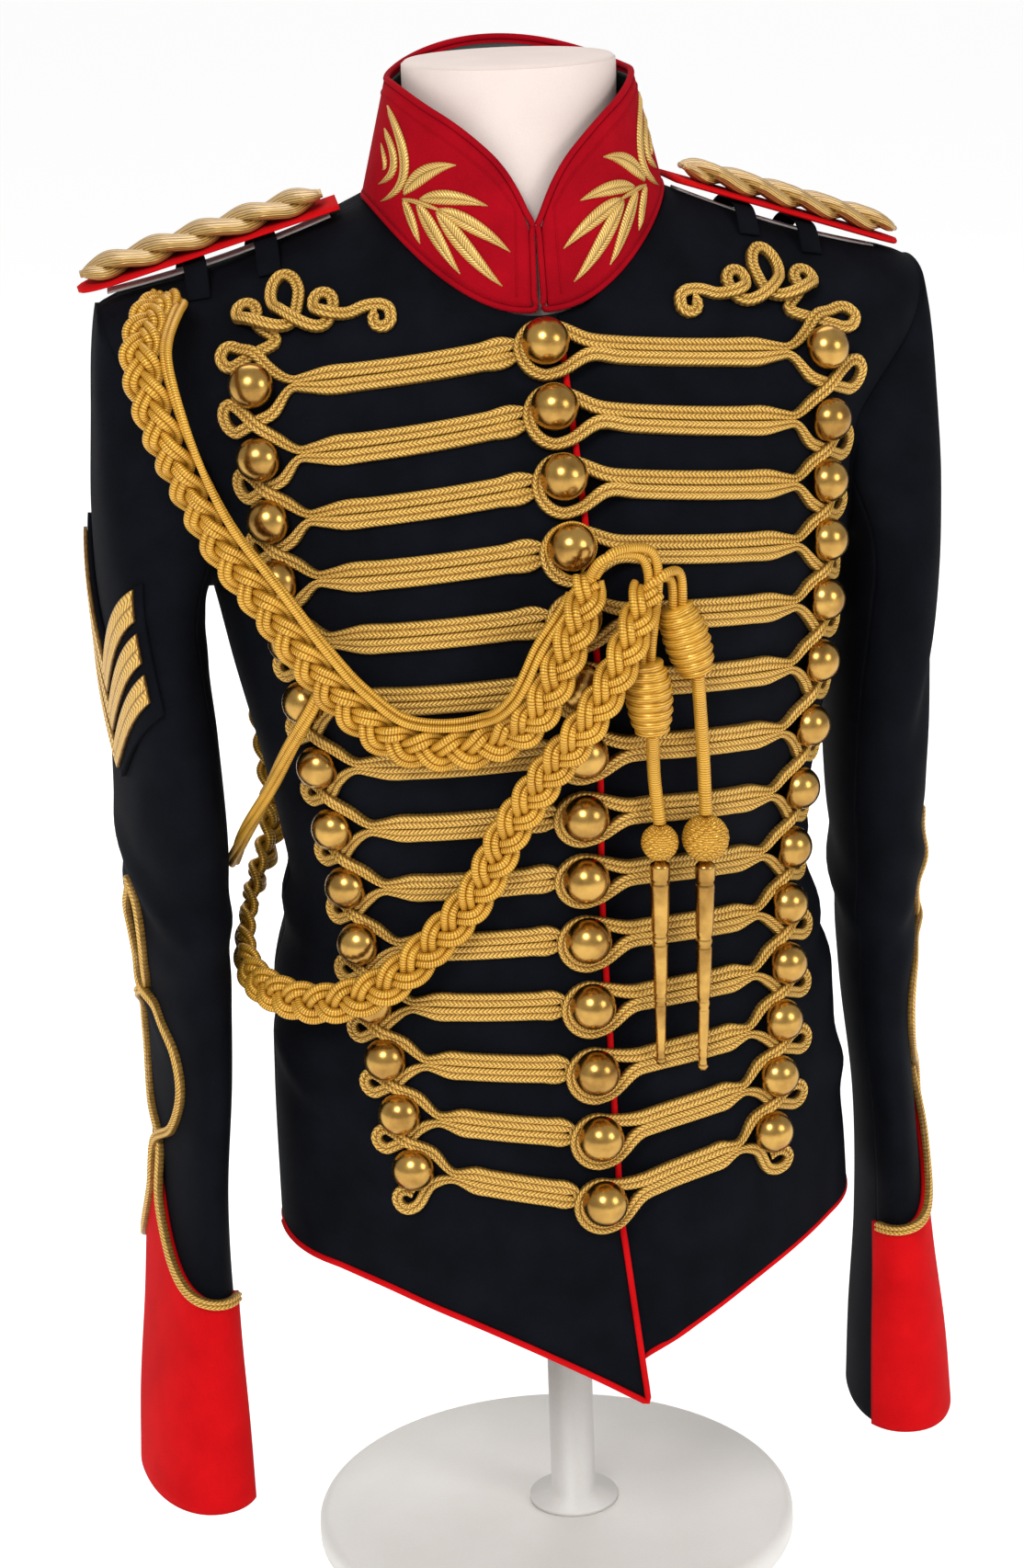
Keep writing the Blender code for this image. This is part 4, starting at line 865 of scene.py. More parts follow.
    def armhole(self, side: int, turn: Array) -> Array:
        """Points of the armhole's edge; turn 0 is the shoulder point and a quarter turn is to the front."""
        middle, half = self.arm_span
        h = middle + half * np.cos(turn)
        swing = np.sin(turn)
        d = self.quarter(h) - np.where(swing > 0, self.arm_front, self.arm_back) * swing
        return self.place(side, h, d, creased=False)[0]


@dataclass
class SleeveCloth:
    """A sleeve's outer surface: ovals from the armhole to the cuff."""

    body: BodyCloth
    side: int
    # Columns: along, x, y, z, half_width, half_depth, tilt in degrees
    rings: Array = table(
        (0.000, 0.1905, 0.015, 0.6360, 0.0770, 0.060, 75.0),
        (0.030, 0.1945, 0.015, 0.6080, 0.0520, 0.068, 64.0),
        (0.065, 0.1965, 0.015, 0.5740, 0.0380, 0.071, 46.0),
        (0.105, 0.1960, 0.015, 0.5350, 0.0285, 0.072, 22.0),
        (0.150, 0.1940, 0.015, 0.4900, 0.0260, 0.070, 7.0),
        (0.210, 0.1935, 0.013, 0.4300, 0.0260, 0.066, 0.0),
        (0.270, 0.1925, 0.011, 0.3700, 0.0222, 0.062, 0.0),
        (0.340, 0.1915, 0.008, 0.3000, 0.0172, 0.058, 0.0),
        (0.405, 0.1960, 0.005, 0.2350, 0.0156, 0.056, 0.0),
        (0.480, 0.1990, 0.002, 0.1600, 0.0192, 0.055, 0.0),
        (0.540, 0.2005, 0.001, 0.1000, 0.0250, 0.055, 0.0),
        (0.580, 0.2010, 0.000, 0.0600, 0.0272, 0.055, 0.0),
    )
    # Columns: side, along, around, length, width, slant in degrees, depth
    creases: Array = table(
        (-1, 0.24, 0.036, 0.05, 0.01, 24, 0.0022), (-1, 0.282, 0.052, 0.045, 0.01, -20, -0.0024),
        (-1, 0.228, -0.044, 0.045, 0.01, 15, -0.0022), (-1, 0.17, 0.07, 0.04, 0.012, -58, -0.002),
        (-1, 0.3, -0.03, 0.04, 0.01, 26, 0.0018), (-1, 0.262, 0.15, 0.06, 0.011, 12, 0.0024),
        (1, 0.246, 0.04, 0.05, 0.01, -22, 0.0022), (1, 0.29, 0.06, 0.05, 0.011, 18, -0.0024),
        (1, 0.222, -0.04, 0.045, 0.01, -14, -0.0022), (1, 0.156, 0.052, 0.045, 0.012, 60, -0.0022),
        (1, 0.312, -0.034, 0.04, 0.01, -24, 0.0018), (1, 0.27, 0.148, 0.06, 0.011, -10, 0.0024),
    )
    end: float = 0.58
    toe_deg: float = 8.0
    toe_from: float = 0.05
    toe_over: float = 0.2
    square: float = 2.2
    fade: float = 0.085
    armhole_step: float = 0.0022
    ring_samples: int = 361
    length_samples: int = 581
    shares: int = 481

    def __post_init__(self) -> None:
        """Works out the surface on a fine grid; the first oval is drawn to the armhole and fades from it."""
        turns = np.linspace(0.0, TURN, self.ring_samples)
        self.places = np.linspace(0.0, self.end, self.length_samples)
        ovals = self._ovals(self.places, turns)
        reach = self.body.armhole(self.side, turns) + np.array([self.side * self.armhole_step, 0.0, 0.0])
        points = ovals + (reach - ovals[0]) * (1 - ease(self.places / self.fade))[:, None, None]
        self.spots, lengths = spread(points, self.shares)
        self.whole = lengths[:, -1]
        loop = join([self.spots[:, -2:-1], self.spots, self.spots[:, 1:2]], axis=1)
        round_ = loop[:, 2:] - loop[:, :-2]
        self.normals = unit(np.cross(round_, np.gradient(self.spots, axis=0))) * self.side

    def _ovals(self, q: Array, turns: Array) -> Array:
        """Oval sections: a squarish circle, turned by the toe angle and tilted by its row."""
        _, x, y, z, wide, deep, tilt = np.moveaxis(read_curve(self.rings, q)[:, :, None], 1, 0)
        tilt, power = np.radians(tilt), 2.0 / self.square
        u = wide * np.sign(np.cos(turns)) * np.abs(np.cos(turns)) ** power
        v = deep * np.sign(np.sin(turns)) * np.abs(np.sin(turns)) ** power
        toe = math.radians(self.toe_deg) * ease((q - self.toe_from) / self.toe_over)[:, None]
        u, v = u * np.cos(toe) - v * np.sin(toe), v * np.cos(toe) + u * np.sin(toe)
        return np.stack([self.side * (x + u * np.cos(tilt)), y - v, z + u * np.sin(tilt)], axis=-1)

    def round_length(self, q: Array | float) -> Array:
        """Length around the sleeve."""
        return np.interp(q, self.places, self.whole)

    def place(self, q: Array, a: Array, out: Array | float = 0.0) -> tuple[Array, Array]:
        """Points outside the sleeve and the outward directions there.

        Args:
            q: Places along the sleeve.
            a: Distances round to the front from its outer line.
            out: Distances outside the cloth.

        Returns:
            The points and the directions.
        """
        q, a, out = np.broadcast_arrays(np.asarray(q, float), np.asarray(a, float), np.asarray(out, float))
        row = q / self.end * (self.length_samples - 1)
        column = (a / self.round_length(q)) % 1.0 * (self.shares - 1)
        spot, normal = read_grid(self.spots, row, column), unit(read_grid(self.normals, row, column))
        lift = out + folds(self.creases, self.side, q, a)
        return spot + normal * lift[..., None], normal


@dataclass
class Panels:
    """The two fronts and the back, each a thin wall of wool."""

    body: BodyCloth
    wool: float = 0.0022
    lap: float = 0.0085
    lap_tip: float = 0.018
    underlap: float = 0.0105
    under: float = 0.0036
    under_from: float = 0.0225
    under_end: float = 0.036
    hem_level: float = 0.235
    hem_side: float = 0.205
    hem_drop: float = 0.078
    hem_reach: float = 0.15
    hem_back_dip: float = 0.012
    columns: int = 55
    skirt_rows: int = 15
    side_rows: int = 70
    arm_rows: int = 44
    shoulder_rows: int = 14
    front_flat: Pair = (0.275, 0.59)
    back_flat: Pair = (0.48, 0.59)

    def hem(self, d: Array) -> Array:
        """Height of the fronts' hem: the side's height less a drop that grows towards the point."""
        u = np.minimum(1.0, (d + self.lap_tip) / (self.hem_reach + self.lap_tip))
        return self.hem_side - self.hem_drop * (1 - u) ** 1.5

    def reach(self, side: int, h: Array | float) -> Array:
        """How far a front reaches past the centre front."""
        below = np.maximum(0.0, (self.hem_level - h) / (self.hem_level - self.hem_side + self.hem_drop))
        right = self.lap + (self.lap_tip - self.lap) * below
        return right if side < 0 else np.full_like(right, self.underlap)

    def set_in(self, side: int, d: Array) -> Array:
        """How far the left front is set in where the right front lies on it."""
        inside = -self.under * (1 - ease((d - self.under_from) / (self.under_end - self.under_from)))
        return inside if side > 0 else np.zeros_like(inside)

    def heights(self) -> Array:
        """Rings of a panel above the hem, closer at the armhole's ends."""
        middle, half = self.body.arm_span
        return join([
            np.linspace(self.hem_level, self.body.arm_low, self.side_rows),
            middle - half * np.cos(np.linspace(0.0, math.pi, self.arm_rows))[1:],
            np.linspace(self.body.arm_top, self.body.neck, self.shoulder_rows)[1:],
        ])

    def front_places(self, side: int) -> tuple[Array, Array]:
        """Ring heights and distances of a front's grid, from its edge past the centre to its seams."""
        f = evenly(self.columns)[None, :]
        low, body = self.hem_side - self.hem_drop, self.body
        bottom = f * body.front_edge(self.hem_side) - (1 - f) * self.reach(side, low)
        level = f * body.front_edge(self.hem_level) - (1 - f) * self.reach(side, self.hem_level)
        q = evenly(self.skirt_rows + 1)[:-1, None]
        foot = self.hem(np.abs(bottom) if side > 0 else bottom)
        skirt = foot + (self.hem_level - foot) * q
        h = self.heights()[:, None]
        upper = f * body.front_edge(h) - (1 - f) * self.reach(side, h)
        heights = join([skirt, np.broadcast_to(h, upper.shape)])
        return heights, join([bottom + (level - bottom) * q, upper])

    def front(self, side: Side) -> None:
        """One front, as a wall between two grids."""
        h, d = self.front_places(side.value)
        inset = self.set_in(side.value, d)
        outer = self.body.place(side.value, h, d, inset)[0]
        inner = self.body.place(side.value, h, d, inset - self.wool)[0]
        cloth = Surface().shell(outer, inner, h, d)
        cloth.settle_sheet(f"front_cloth_{side.word}", Dress.WOOL, f"front_{side.word}", self.front_flat)

    def back(self) -> None:
        """The back, from one side seam across the centre to the other."""
        f = np.linspace(-1.0, 1.0, 2 * self.columns - 1)[None, :]
        low = self.hem_side - self.hem_back_dip * (1 - f * f)
        q = evenly(self.skirt_rows + 1)[:-1, None]
        h = join([low + (self.hem_level - low) * q,
                            np.broadcast_to(self.heights()[:, None], (len(self.heights()), f.size))])
        far = self.body.half_round(h)
        d = far - np.abs(f) * (far - self.body.back_edge(h))
        half = f.size // 2
        walls = []
        for out in (0.0, -self.wool):
            left = self.body.place(1, h[:, :half], d[:, :half], out)[0]
            right = self.body.place(-1, h[:, half:], d[:, half:], out)[0]
            walls.append(join([left, right], axis=1))
        Surface().shell(*walls, h, f * far).settle_sheet("back_cloth", Dress.WOOL, "back", self.back_flat)

    def build(self) -> None:
        """Builds the three panels."""
        for side in Side:
            self.front(side)
        self.back()


@dataclass
class Sleeves:
    """Outer and under pieces of both sleeves, and the cuffs' facings."""

    cloths: dict[Side, SleeveCloth]
    wool: float = 0.0022
    felt: float = 0.0014
    over: float = 0.0019
    tucked: float = 0.0035
    front_seam: float = 0.33
    back_seam: float = 0.27
    cuff_low: float = 0.458
    cuff_point: float = 0.395
    cuff_curve: float = 2.3
    cuff_sunk: float = 0.0016
    outer_flat: Pair = (0.215, 0.59)
    under_flat: Pair = (0.145, 0.59)
    cuff_flat: Pair = (0.125, 0.19)
    head_end: float = 0.12
    head_rows: int = 50
    arm_rows: int = 110
    outer_columns: int = 64
    under_columns: int = 42
    cuff_grid: tuple[int, int] = (31, 61)

    def cuff_edge(self, share: Array) -> Array:
        """Place along the sleeve of the cuff's upper edge, rising in a curve to its point at share 0."""
        return self.cuff_low - (self.cuff_low - self.cuff_point) * (1 - share) ** self.cuff_curve

    def wall(self, cloth: SleeveCloth, low: float, high: float, columns: int) -> Surface:
        """A sleeve piece between two seams, given as shares of the round."""
        head = np.linspace(0.0, self.head_end, self.head_rows)[:-1]
        q = join([head, np.linspace(self.head_end, cloth.end, self.arm_rows)])[:, None]
        whole = cloth.round_length(q)
        f = evenly(columns)[None, :]
        a = low * whole * (1 - f) + high * whole * f
        q = np.broadcast_to(q, a.shape)
        outer, inner = cloth.place(q, a)[0], cloth.place(q, a, -self.wool)[0]
        tuck = np.array([cloth.side * (cloth.armhole_step + self.tucked), 0.0, 0.0])
        outer, inner = (join([wall[:1] - tuck, wall]) for wall in (outer, inner))
        return Surface().shell(outer, inner, join([q[:1], q]), join([a[:1], a]))

    def cuff(self, side: Side) -> None:
        """The cuff's facing on the outer sleeve."""
        cloth, word = self.cloths[side], side.word
        rows, columns = self.cuff_grid
        f = np.linspace(-1.0, 1.0, columns)[None, :]
        q = cloth.end + (self.cuff_edge(np.abs(f)) - cloth.end) * evenly(rows)[:, None]
        a = f * (np.where(f > 0, self.front_seam, self.back_seam) * cloth.round_length(q))
        walls = [cloth.place(q, a, self.over + out)[0] for out in (self.felt, -self.cuff_sunk)]
        Surface().shell(*walls, q, a).settle_sheet(
            f"cuff_facing_{word}", Dress.SCARLET, f"cuff_{word}", self.cuff_flat, "stretched",
            f"sleeve_outer_{word}")

    def build(self) -> None:
        """Builds both sleeves."""
        for side, cloth in self.cloths.items():
            word = side.word
            outer = self.wall(cloth, -self.back_seam, self.front_seam, self.outer_columns)
            outer.settle_sheet(f"sleeve_top_cloth_{word}", Dress.WOOL, f"sleeve_outer_{word}", self.outer_flat)
            under = self.wall(cloth, self.front_seam, 1 - self.back_seam, self.under_columns)
            under.settle_sheet(
                f"sleeve_under_cloth_{word}", Dress.WOOL, f"sleeve_under_{word}", self.under_flat)
            self.cuff(side)


@dataclass
class Collar:
    """The standing collar, its lining, piping, stitching and leaf embroidery."""

    neckline: Array
    raise_: float = 0.0058
    gap_deg: float = 3.2
    columns: int = 121
    wall: float = 0.0022
    lining_wall: float = 0.0012
    seam: float = 0.0004
    top_half: float = 0.0635
    top_front: float = 0.06
    top_back: float = 0.056
    top_z: Triple = (0.786, 0.815, 0.829)
    round_deg: float = 46.0
    round_drop: float = 0.03
    piping: float = 0.0017
    corner_reach: float = 1.25
    stitch_in: float = 0.105
    stitch: float = 0.00045
    # Columns: turn and level of a leaf's root, its bend and its tip, then its half width
    leaves: Array = table(
        (57, 0.28, 51, 0.58, 34, 0.78, 0.0042),
        (49, 0.35, 37, 0.54, 20, 0.66, 0.0038),
        (40, 0.39, 27, 0.46, 11, 0.44, 0.0041),
        (41, 0.36, 31, 0.27, 14, 0.11, 0.0044),
        (50, 0.31, 43, 0.20, 30, 0.04, 0.0040),
        (57, 0.25, 52, 0.15, 47, 0.03, 0.0027),
        (58, 0.23, 48, 0.35, 36, 0.40, 0.0013),
        (78, 0.84, 44, 0.54, 70, 0.05, 0.0033),
        (77, 0.64, 55, 0.46, 74, 0.16, 0.0027),
        (78, 0.50, 67, 0.36, 73, 0.30, 0.0013),
    )
    leaf_high: float = 0.0016
    leaf_sunk: float = 0.0006
    leaf_thin: float = 0.0015
    leaf_over: float = 0.0001
    leaf_rows: int = 41
    leaf_columns: int = 11
    vein_deep: float = 0.35
    vein_half: float = 0.16
    corner_deg: float = 20.0
    corner_drop: float = 0.013
    base_level: float = -0.035
    edge_levels: int = 7
    edge_step: float = 0.002
    wall_columns: int = 161
    wall_rows: int = 21
    pattern: Pair = (0.06, 0.07)
    lining_gap: float = 0.0001
    lining_top: float = 0.97
    stitch_low: float = 0.06
    stitch_over: float = 0.00005
    stitch_step: float = 0.0015
    stitch_nodes: int = 14
    probe: float = 0.001
    collar_flat: Pair = (0.425, 0.062)
    lining_flat: Pair = (0.405, 0.056)

    def place(self, turn: Array, level: Array, out: Array | float = 0.0) -> Array:
        """Points of the collar: an oval that changes evenly from its seam to its edge.

        Args:
            turn: Angles from the centre front towards the wearer's left.
            level: From 0 at the seam to 1 at the edge.
            out: Distances outside.

        Returns:
            The points.
        """
        front_z, side_z, back_z, half, front, back, _ = self.neckline
        turn, level, out = np.broadcast_arrays(np.asarray(turn, float), np.asarray(level, float), out)
        ahead = np.cos(turn)
        low = side_z + (np.where(ahead > 0, front_z, back_z) - side_z) * ahead ** 2 + self.raise_
        top_front, top_side, top_back = self.top_z
        high = top_side + (np.where(ahead > 0, top_front, top_back) - top_side) * ahead ** 2
        swing = np.degrees(np.minimum(turn % TURN, TURN - turn % TURN))
        high = high - self.round_drop * np.maximum(0.0, 1 - swing / self.round_deg) ** 2.2
        high = high - self.corner_drop * np.maximum(0.0, 1 - (swing - self.gap_deg) / self.corner_deg) ** 2.6
        wide = half + (self.top_half - half) * level
        deep_low = np.where(ahead > 0, front, back)
        deep = deep_low + (np.where(ahead > 0, self.top_front, self.top_back) - deep_low) * level
        z = low + (high - low) * level
        return np.stack([(wide + out) * np.sin(turn), -(deep + out) * ahead, z], axis=-1)

    def turns(self, columns: int) -> Array:
        """Angles of the collar's columns, closer at its front edges."""
        share = np.linspace(-1.0, 1.0, columns)
        start = math.radians(self.gap_deg)
        return math.pi + (math.pi - start) * np.sign(share) * np.abs(share) ** 0.85

    def wall_surface(self, outer: float, inner: float, low: float, high: float) -> Surface:
        """A wall round the neck between two distances and two levels."""
        turn = self.turns(self.wall_columns)[None, :]
        level = np.linspace(low, high, self.wall_rows)[:, None]
        walls = [self.place(turn, level, out) for out in (outer, inner)]
        return Surface().shell(*walls, level * self.pattern[0], turn * self.pattern[1])

    def edge_path(self) -> Array:
        """Closed path of the piping round the collar, just outside its edges."""
        inside = 0.06
        turns = self.turns(self.columns)
        rim = [(t, 1.0, t, 1.0 - inside) for t in turns]
        levels = np.linspace(1.0, self.base_level, self.edge_levels + 2)[1:-1]
        rim += [(turns[-1], k, turns[-1] - inside, k) for k in levels]
        rim += [(t, self.base_level, t, inside) for t in turns[::-1]]
        rim += [(turns[0], k, turns[0] + inside, k) for k in levels[::-1]]
        turn, level, near_turn, near_level = np.array(rim).T
        edge = self.place(turn, level, -self.wall / 2)
        along = unit(np.roll(edge, -1, axis=0) - np.roll(edge, 1, axis=0))
        away = edge - self.place(near_turn, near_level, -self.wall / 2)
        away = unit(away - along * np.sum(away * along, axis=1, keepdims=True))
        reach = np.full((len(rim), 1), self.piping + 2 * self.seam)
        after = self.columns + self.edge_levels
        reach[[0, self.columns - 1, after, after + self.columns - 1]] *= self.corner_reach
        return edge + away * (reach - 2 * self.seam)

    def leaf(self, surface: Surface, row: Array, mirror: float) -> None:
        """One leaf: a bent middle line, a width that swells and ends in a point, a raised and veined top.

        The half width is its largest times the sine of pi t to the power 0.8, and the height is a half circle
        of the width less a groove on the vein.
        """
        places = np.radians(row[[0, 2, 4]]) * mirror
        t = evenly(self.leaf_rows)[:, None]
        weights = ((1 - t) ** 2, 2 * t * (1 - t), t ** 2)
        turn = sum(w * p for w, p in zip(weights, places))
        level = sum(w * p for w, p in zip(weights, row[[1, 3, 5]]))
        middle = self.place(turn[:, 0], level[:, 0])
        outs = unit(self.place(turn[:, 0], level[:, 0], self.probe) - middle)
        half = row[6] * np.sin(math.pi * np.clip(t, 0.02, 0.985) ** 0.8) ** 0.8
        v = join([np.linspace(-1.0, 1.0, self.leaf_columns), [1.0, -1.0]])[None, :]
        top = np.sqrt(np.maximum(0.0, 1 - v * v)) - self.vein_deep * np.exp(-(v / self.vein_half) ** 2)
        lift = np.where(np.arange(v.size) < self.leaf_columns, self.leaf_high * top, -self.leaf_sunk)
        lift = lift * np.minimum(1.0, half / self.leaf_thin) + self.leaf_over
        rings = carry(middle, outs, half * v, lift)
        surface.tube(rings, running(middle), np.append(v[0], v[0, 0]))

    def stitching(self) -> Surface:
        """A sewn line inside the collar's upper and front edges."""
        start = math.radians(self.gap_deg)
        inset, high = self.stitch_in * 0.9, 1 - self.stitch_in
        inner = np.clip(self.turns(self.columns), start + inset, TURN - start - inset)
        up = [(inner[0], k) for k in np.linspace(self.stitch_low, high, self.stitch_nodes)[:-1]]
        over = [(t, high) for t in np.unique(inner)]
        down = [(inner[-1], k) for k in np.linspace(high, self.stitch_low, self.stitch_nodes)[1:]]
        turn, level = np.array(up + over + down).T
        path = self.place(turn, level, self.stitch_over)
        outs = unit(self.place(turn, level, self.probe) - path)
        return Surface().cord(*smooth_route(path, outs, self.stitch_step), self.stitch, 6)

    def build(self) -> None:
        """Builds the collar and what is sewn on it."""
        cloth = self.wall_surface(0.0, -self.wall, self.base_level, 1.0)
        cloth.settle_sheet("collar_cloth", Dress.CRIMSON, "collar", self.collar_flat, "stretched")
        inset = self.wall + self.lining_gap
        lining = self.wall_surface(-inset, -inset - self.lining_wall, self.base_level, self.lining_top)
        lining.settle_sheet(
            "collar_lining_cloth", Dress.LINING, "collar_lining", self.lining_flat, "stretched", "collar")
        edge = self.edge_path()
        loop = smooth_path(join([edge, edge[:1]]), self.edge_step)
        piped = Surface().cord(loop, np.array([0.0, 0.02, 1.0]), self.piping, 10)
        piped.settle("collar_edge_piping", Dress.CRIMSON, "collar_piping")
        for side in Side:
            spray = Surface()
            for row in self.leaves:
                self.leaf(spray, row, side.value)
            spray.settle(f"collar_leaves_{side.word}", Dress.SATIN)
        self.stitching().settle("collar_stitching", Dress.CRIMSON)


@dataclass
class Piping:
    """Scarlet piping down the right front's edge and along the hems."""

    panels: Panels
    radius: float = 0.0017
    seam: float = 0.0004
    left_from: float = 0.012
    step: float = 0.003
    nodes: int = 24
    tip_nodes: int = 8
    below_neck: float = 0.006
    below_level: float = 0.02
    above_tip: float = 0.004
    past_tip: float = 0.006
    before_side: float = 0.001
    tip_share: float = 0.8
    back_share: float = 0.99

    def cord(self, name: str, points: Array, outs: Array) -> None:
        """One length of piping on a smooth path."""
        piped = Surface().cord(*smooth_route(points, outs, self.step), self.radius, 10)
        piped.settle(f"hem_{name}", Dress.SCARLET, name)

    def build(self) -> None:
        """Builds the three lengths."""
        p, body = self.panels, self.panels.body
        beyond = self.radius - self.seam
        tip, level = float(p.hem(-p.lap_tip)), p.hem_level
        side = float(body.front_edge(p.hem_side)) - self.before_side
        h = join([np.linspace(body.neck - self.below_neck, level, self.nodes),
                            np.linspace(level - self.below_level, tip + self.above_tip, self.tip_nodes)])
        d = np.linspace(-p.lap_tip + self.past_tip, side, self.nodes)
        past = self.tip_share * beyond
        heights = join([h, [tip - past], p.hem(d) - beyond])
        places = join([-p.reach(-1, h) - beyond, [-p.lap_tip - past], d])
        self.cord("piping_right", *body.place(-1, heights, places))
        d = np.linspace(self.left_from, side, self.nodes)
        inset = p.set_in(1, d) - p.wool / 2
        self.cord("piping_left", *body.place(1, p.hem(d) - beyond, d, inset))
        f = np.linspace(0.0, self.back_share, self.nodes)
        h = p.hem_side - p.hem_back_dip * (1 - f * f) - beyond
        d = body.half_round(h) - f * (body.half_round(h) - body.back_edge(h))
        left, out_left = body.place(1, h, d, -p.wool / 2)
        right, out_right = body.place(-1, h, d, -p.wool / 2)
        points = join([left[::-1], right[1:]])
        self.cord("piping_back", points, join([out_left[::-1], out_right[1:]]))


@dataclass
class Lacing:
    """Chest lacing: fourteen rows of two braids, a scroll at the top, and the buttons of each row."""

    body: BodyCloth
    rows: int = 14
    # Columns: row, height of the front button, height and distance of the outer button from the centre front
    row_table: Array = table(
        (0.0, 0.6905, 0.6600, 0.1490),
        (4.0, 0.5625, 0.5515, 0.1450),
        (8.0, 0.4240, 0.4170, 0.1225),
        (13.0, 0.2455, 0.2670, 0.0965),
    )
    braid: float = 0.0062
    row_braid: float = 0.0074
    braid_high: float = 0.0025
    over: float = 0.0016
    sunk: float = 0.0015
    apart: float = 0.0037
    neck_back: float = 0.0215
    neck_apart: float = 0.0019
    neck_braid: float = 0.0044
    cross_lift: float = 0.0027
    loop: float = 0.0124
    loop_fall: float = 0.0034
    loop_lift: float = 0.002
    lift_end: float = 0.036
    turn_at: float = 0.014
    # Angles in degrees round an eyelet, then its middle and its radius
    eyelet_turns: tuple[float, ...] = (-135, -90, -45, 0, 45, 90, 135)
    eyelet_middle: float = 0.0112
    eyelet_radius: float = 0.0053
    left_stretch: float = 1.45
    eyelet_cross: float = 0.0006
    loop_turns: tuple[float, ...] = (-60, -30, 0, 30, 60, 90, 120, 150, 180, 210)
    end_turns: tuple[float, ...] = (-130, -90, -45, 0, 45, 90, 135)
    end_out: float = 0.005
    end_down: float = 0.018
    pass_in: float = 0.0088
    pass_by: float = 0.0088
    scroll_drop: float = 0.032
    scroll_in: float = 0.004
    last_drop: float = 0.028
    strand_nodes: int = 6
    turn_apart: float = 0.0026
    turn_braid: float = 0.0048
    # Columns: out, up, half_width, half_height of the scroll's loops, from the first outer button
    scroll_loops: Array = table(
        (0.0010, 0.0390, 0.0052, 0.0054),
        (-0.0185, 0.0470, 0.0072, 0.0110),
        (-0.0375, 0.0405, 0.0052, 0.0056),
    )
    # Columns: out, up, of the scroll's tail, then the middle of its curl and the curl's first and last radius
    scroll_tail: Array = table((-0.05, 0.0345), (-0.0575, 0.037))
    curl: tuple[float, float, float, float] = (-0.065, 0.0306, 0.0072, 0.0024)
    curl_turns: tuple[float, ...] = (75, 110, 150, 190, 230, 270, 310, 350, 390, 430)
    probe: float = 0.0015
    newton_steps: int = 12
    step: float = 0.0013
    front_ball: float = 0.012
    ball_middle: float = 0.0096
    shank: float = 0.0034
    foot: float = 0.0006
    outer_ball: float = 0.0113
    outer_shank: float = 0.004
    dome_foot: float = 0.0058
    dome_high: float = 0.0105
    dome_rim: float = 0.0022
    dome_neck: float = 0.7
    ball_points: int = 32
    loop_flat: float = 0.86
    loop_clear: float = 0.011
    turn_clear: float = 0.004
    neck_share: float = 0.16
    lift_over: float = 0.012
    below_neck: float = 0.002
    centre_turns: tuple[float, ...] = (66, 95, 123, 152, 180, 208, 237, 265, 294)

    def row_at(self, row: float) -> Array:
        """Height of a row's front button, then height and distance of its outer button."""
        return read_curve(self.row_table, np.array(min(max(row, 0.0), self.rows - 1.0)))[1:]

    def row_height(self, row: float, d: float) -> float:
        """Height of a row's middle line at a distance from the centre front."""
        centre, outer, reach = self.row_at(row)
        return outer + (centre - outer) * max(0.0, 1 - d / reach)

    def beside_button(self, side: int, spots: Array) -> Array:
        """Distances and heights of spots out and up from the first outer button, on its touching plane.

        Newton's way: each step moves a spot by what it misses, through the slopes of the surface.
        """
        _, h0, d0 = self.row_at(0)
        origin, normal = self.body.place(side, h0, d0, creased=False)
        rise = self.body.place(side, h0 + self.probe, d0, creased=False)[0] - origin
        rise = unit(rise - normal * (rise @ normal))
        plane = np.stack([np.cross(rise, normal) * side, rise])
        d, h = np.full(len(spots), d0), np.full(len(spots), h0)
        for _ in range(self.newton_steps):
            here = self.body.place(side, h, d, creased=False)[0]
            by_d = self.body.place(side, h, d + self.probe, creased=False)[0] - here
            by_h = here - self.body.place(side, h - self.probe, d, creased=False)[0]
            slopes = np.stack([by_d @ plane.T, by_h @ plane.T], axis=-1) / self.probe
            step = np.linalg.solve(slopes, (spots - (here - origin) @ plane.T)[..., None])[..., 0]
            d, h = d + step[:, 0], np.minimum(h + step[:, 1], self.body.neck - self.below_neck)
        return np.column_stack([d, h])

    def cursive_loop(self, out: float, up: float, wide: float, tall: float) -> Nodes:
        """One loop of the scroll, as in handwriting: an oval drawn from its foot round to its left."""
        nodes = []
        for turn in self.loop_turns:
            c, n = math.cos(math.radians(turn)), math.sin(math.radians(turn))
            lift = self.cross_lift if turn == self.loop_turns[0] else 0.0
            high = tall * n * (self.loop_flat if n < 0 else 1.0)
            nodes.append((out + wide * c, up + high, lift, self.braid))
        return nodes

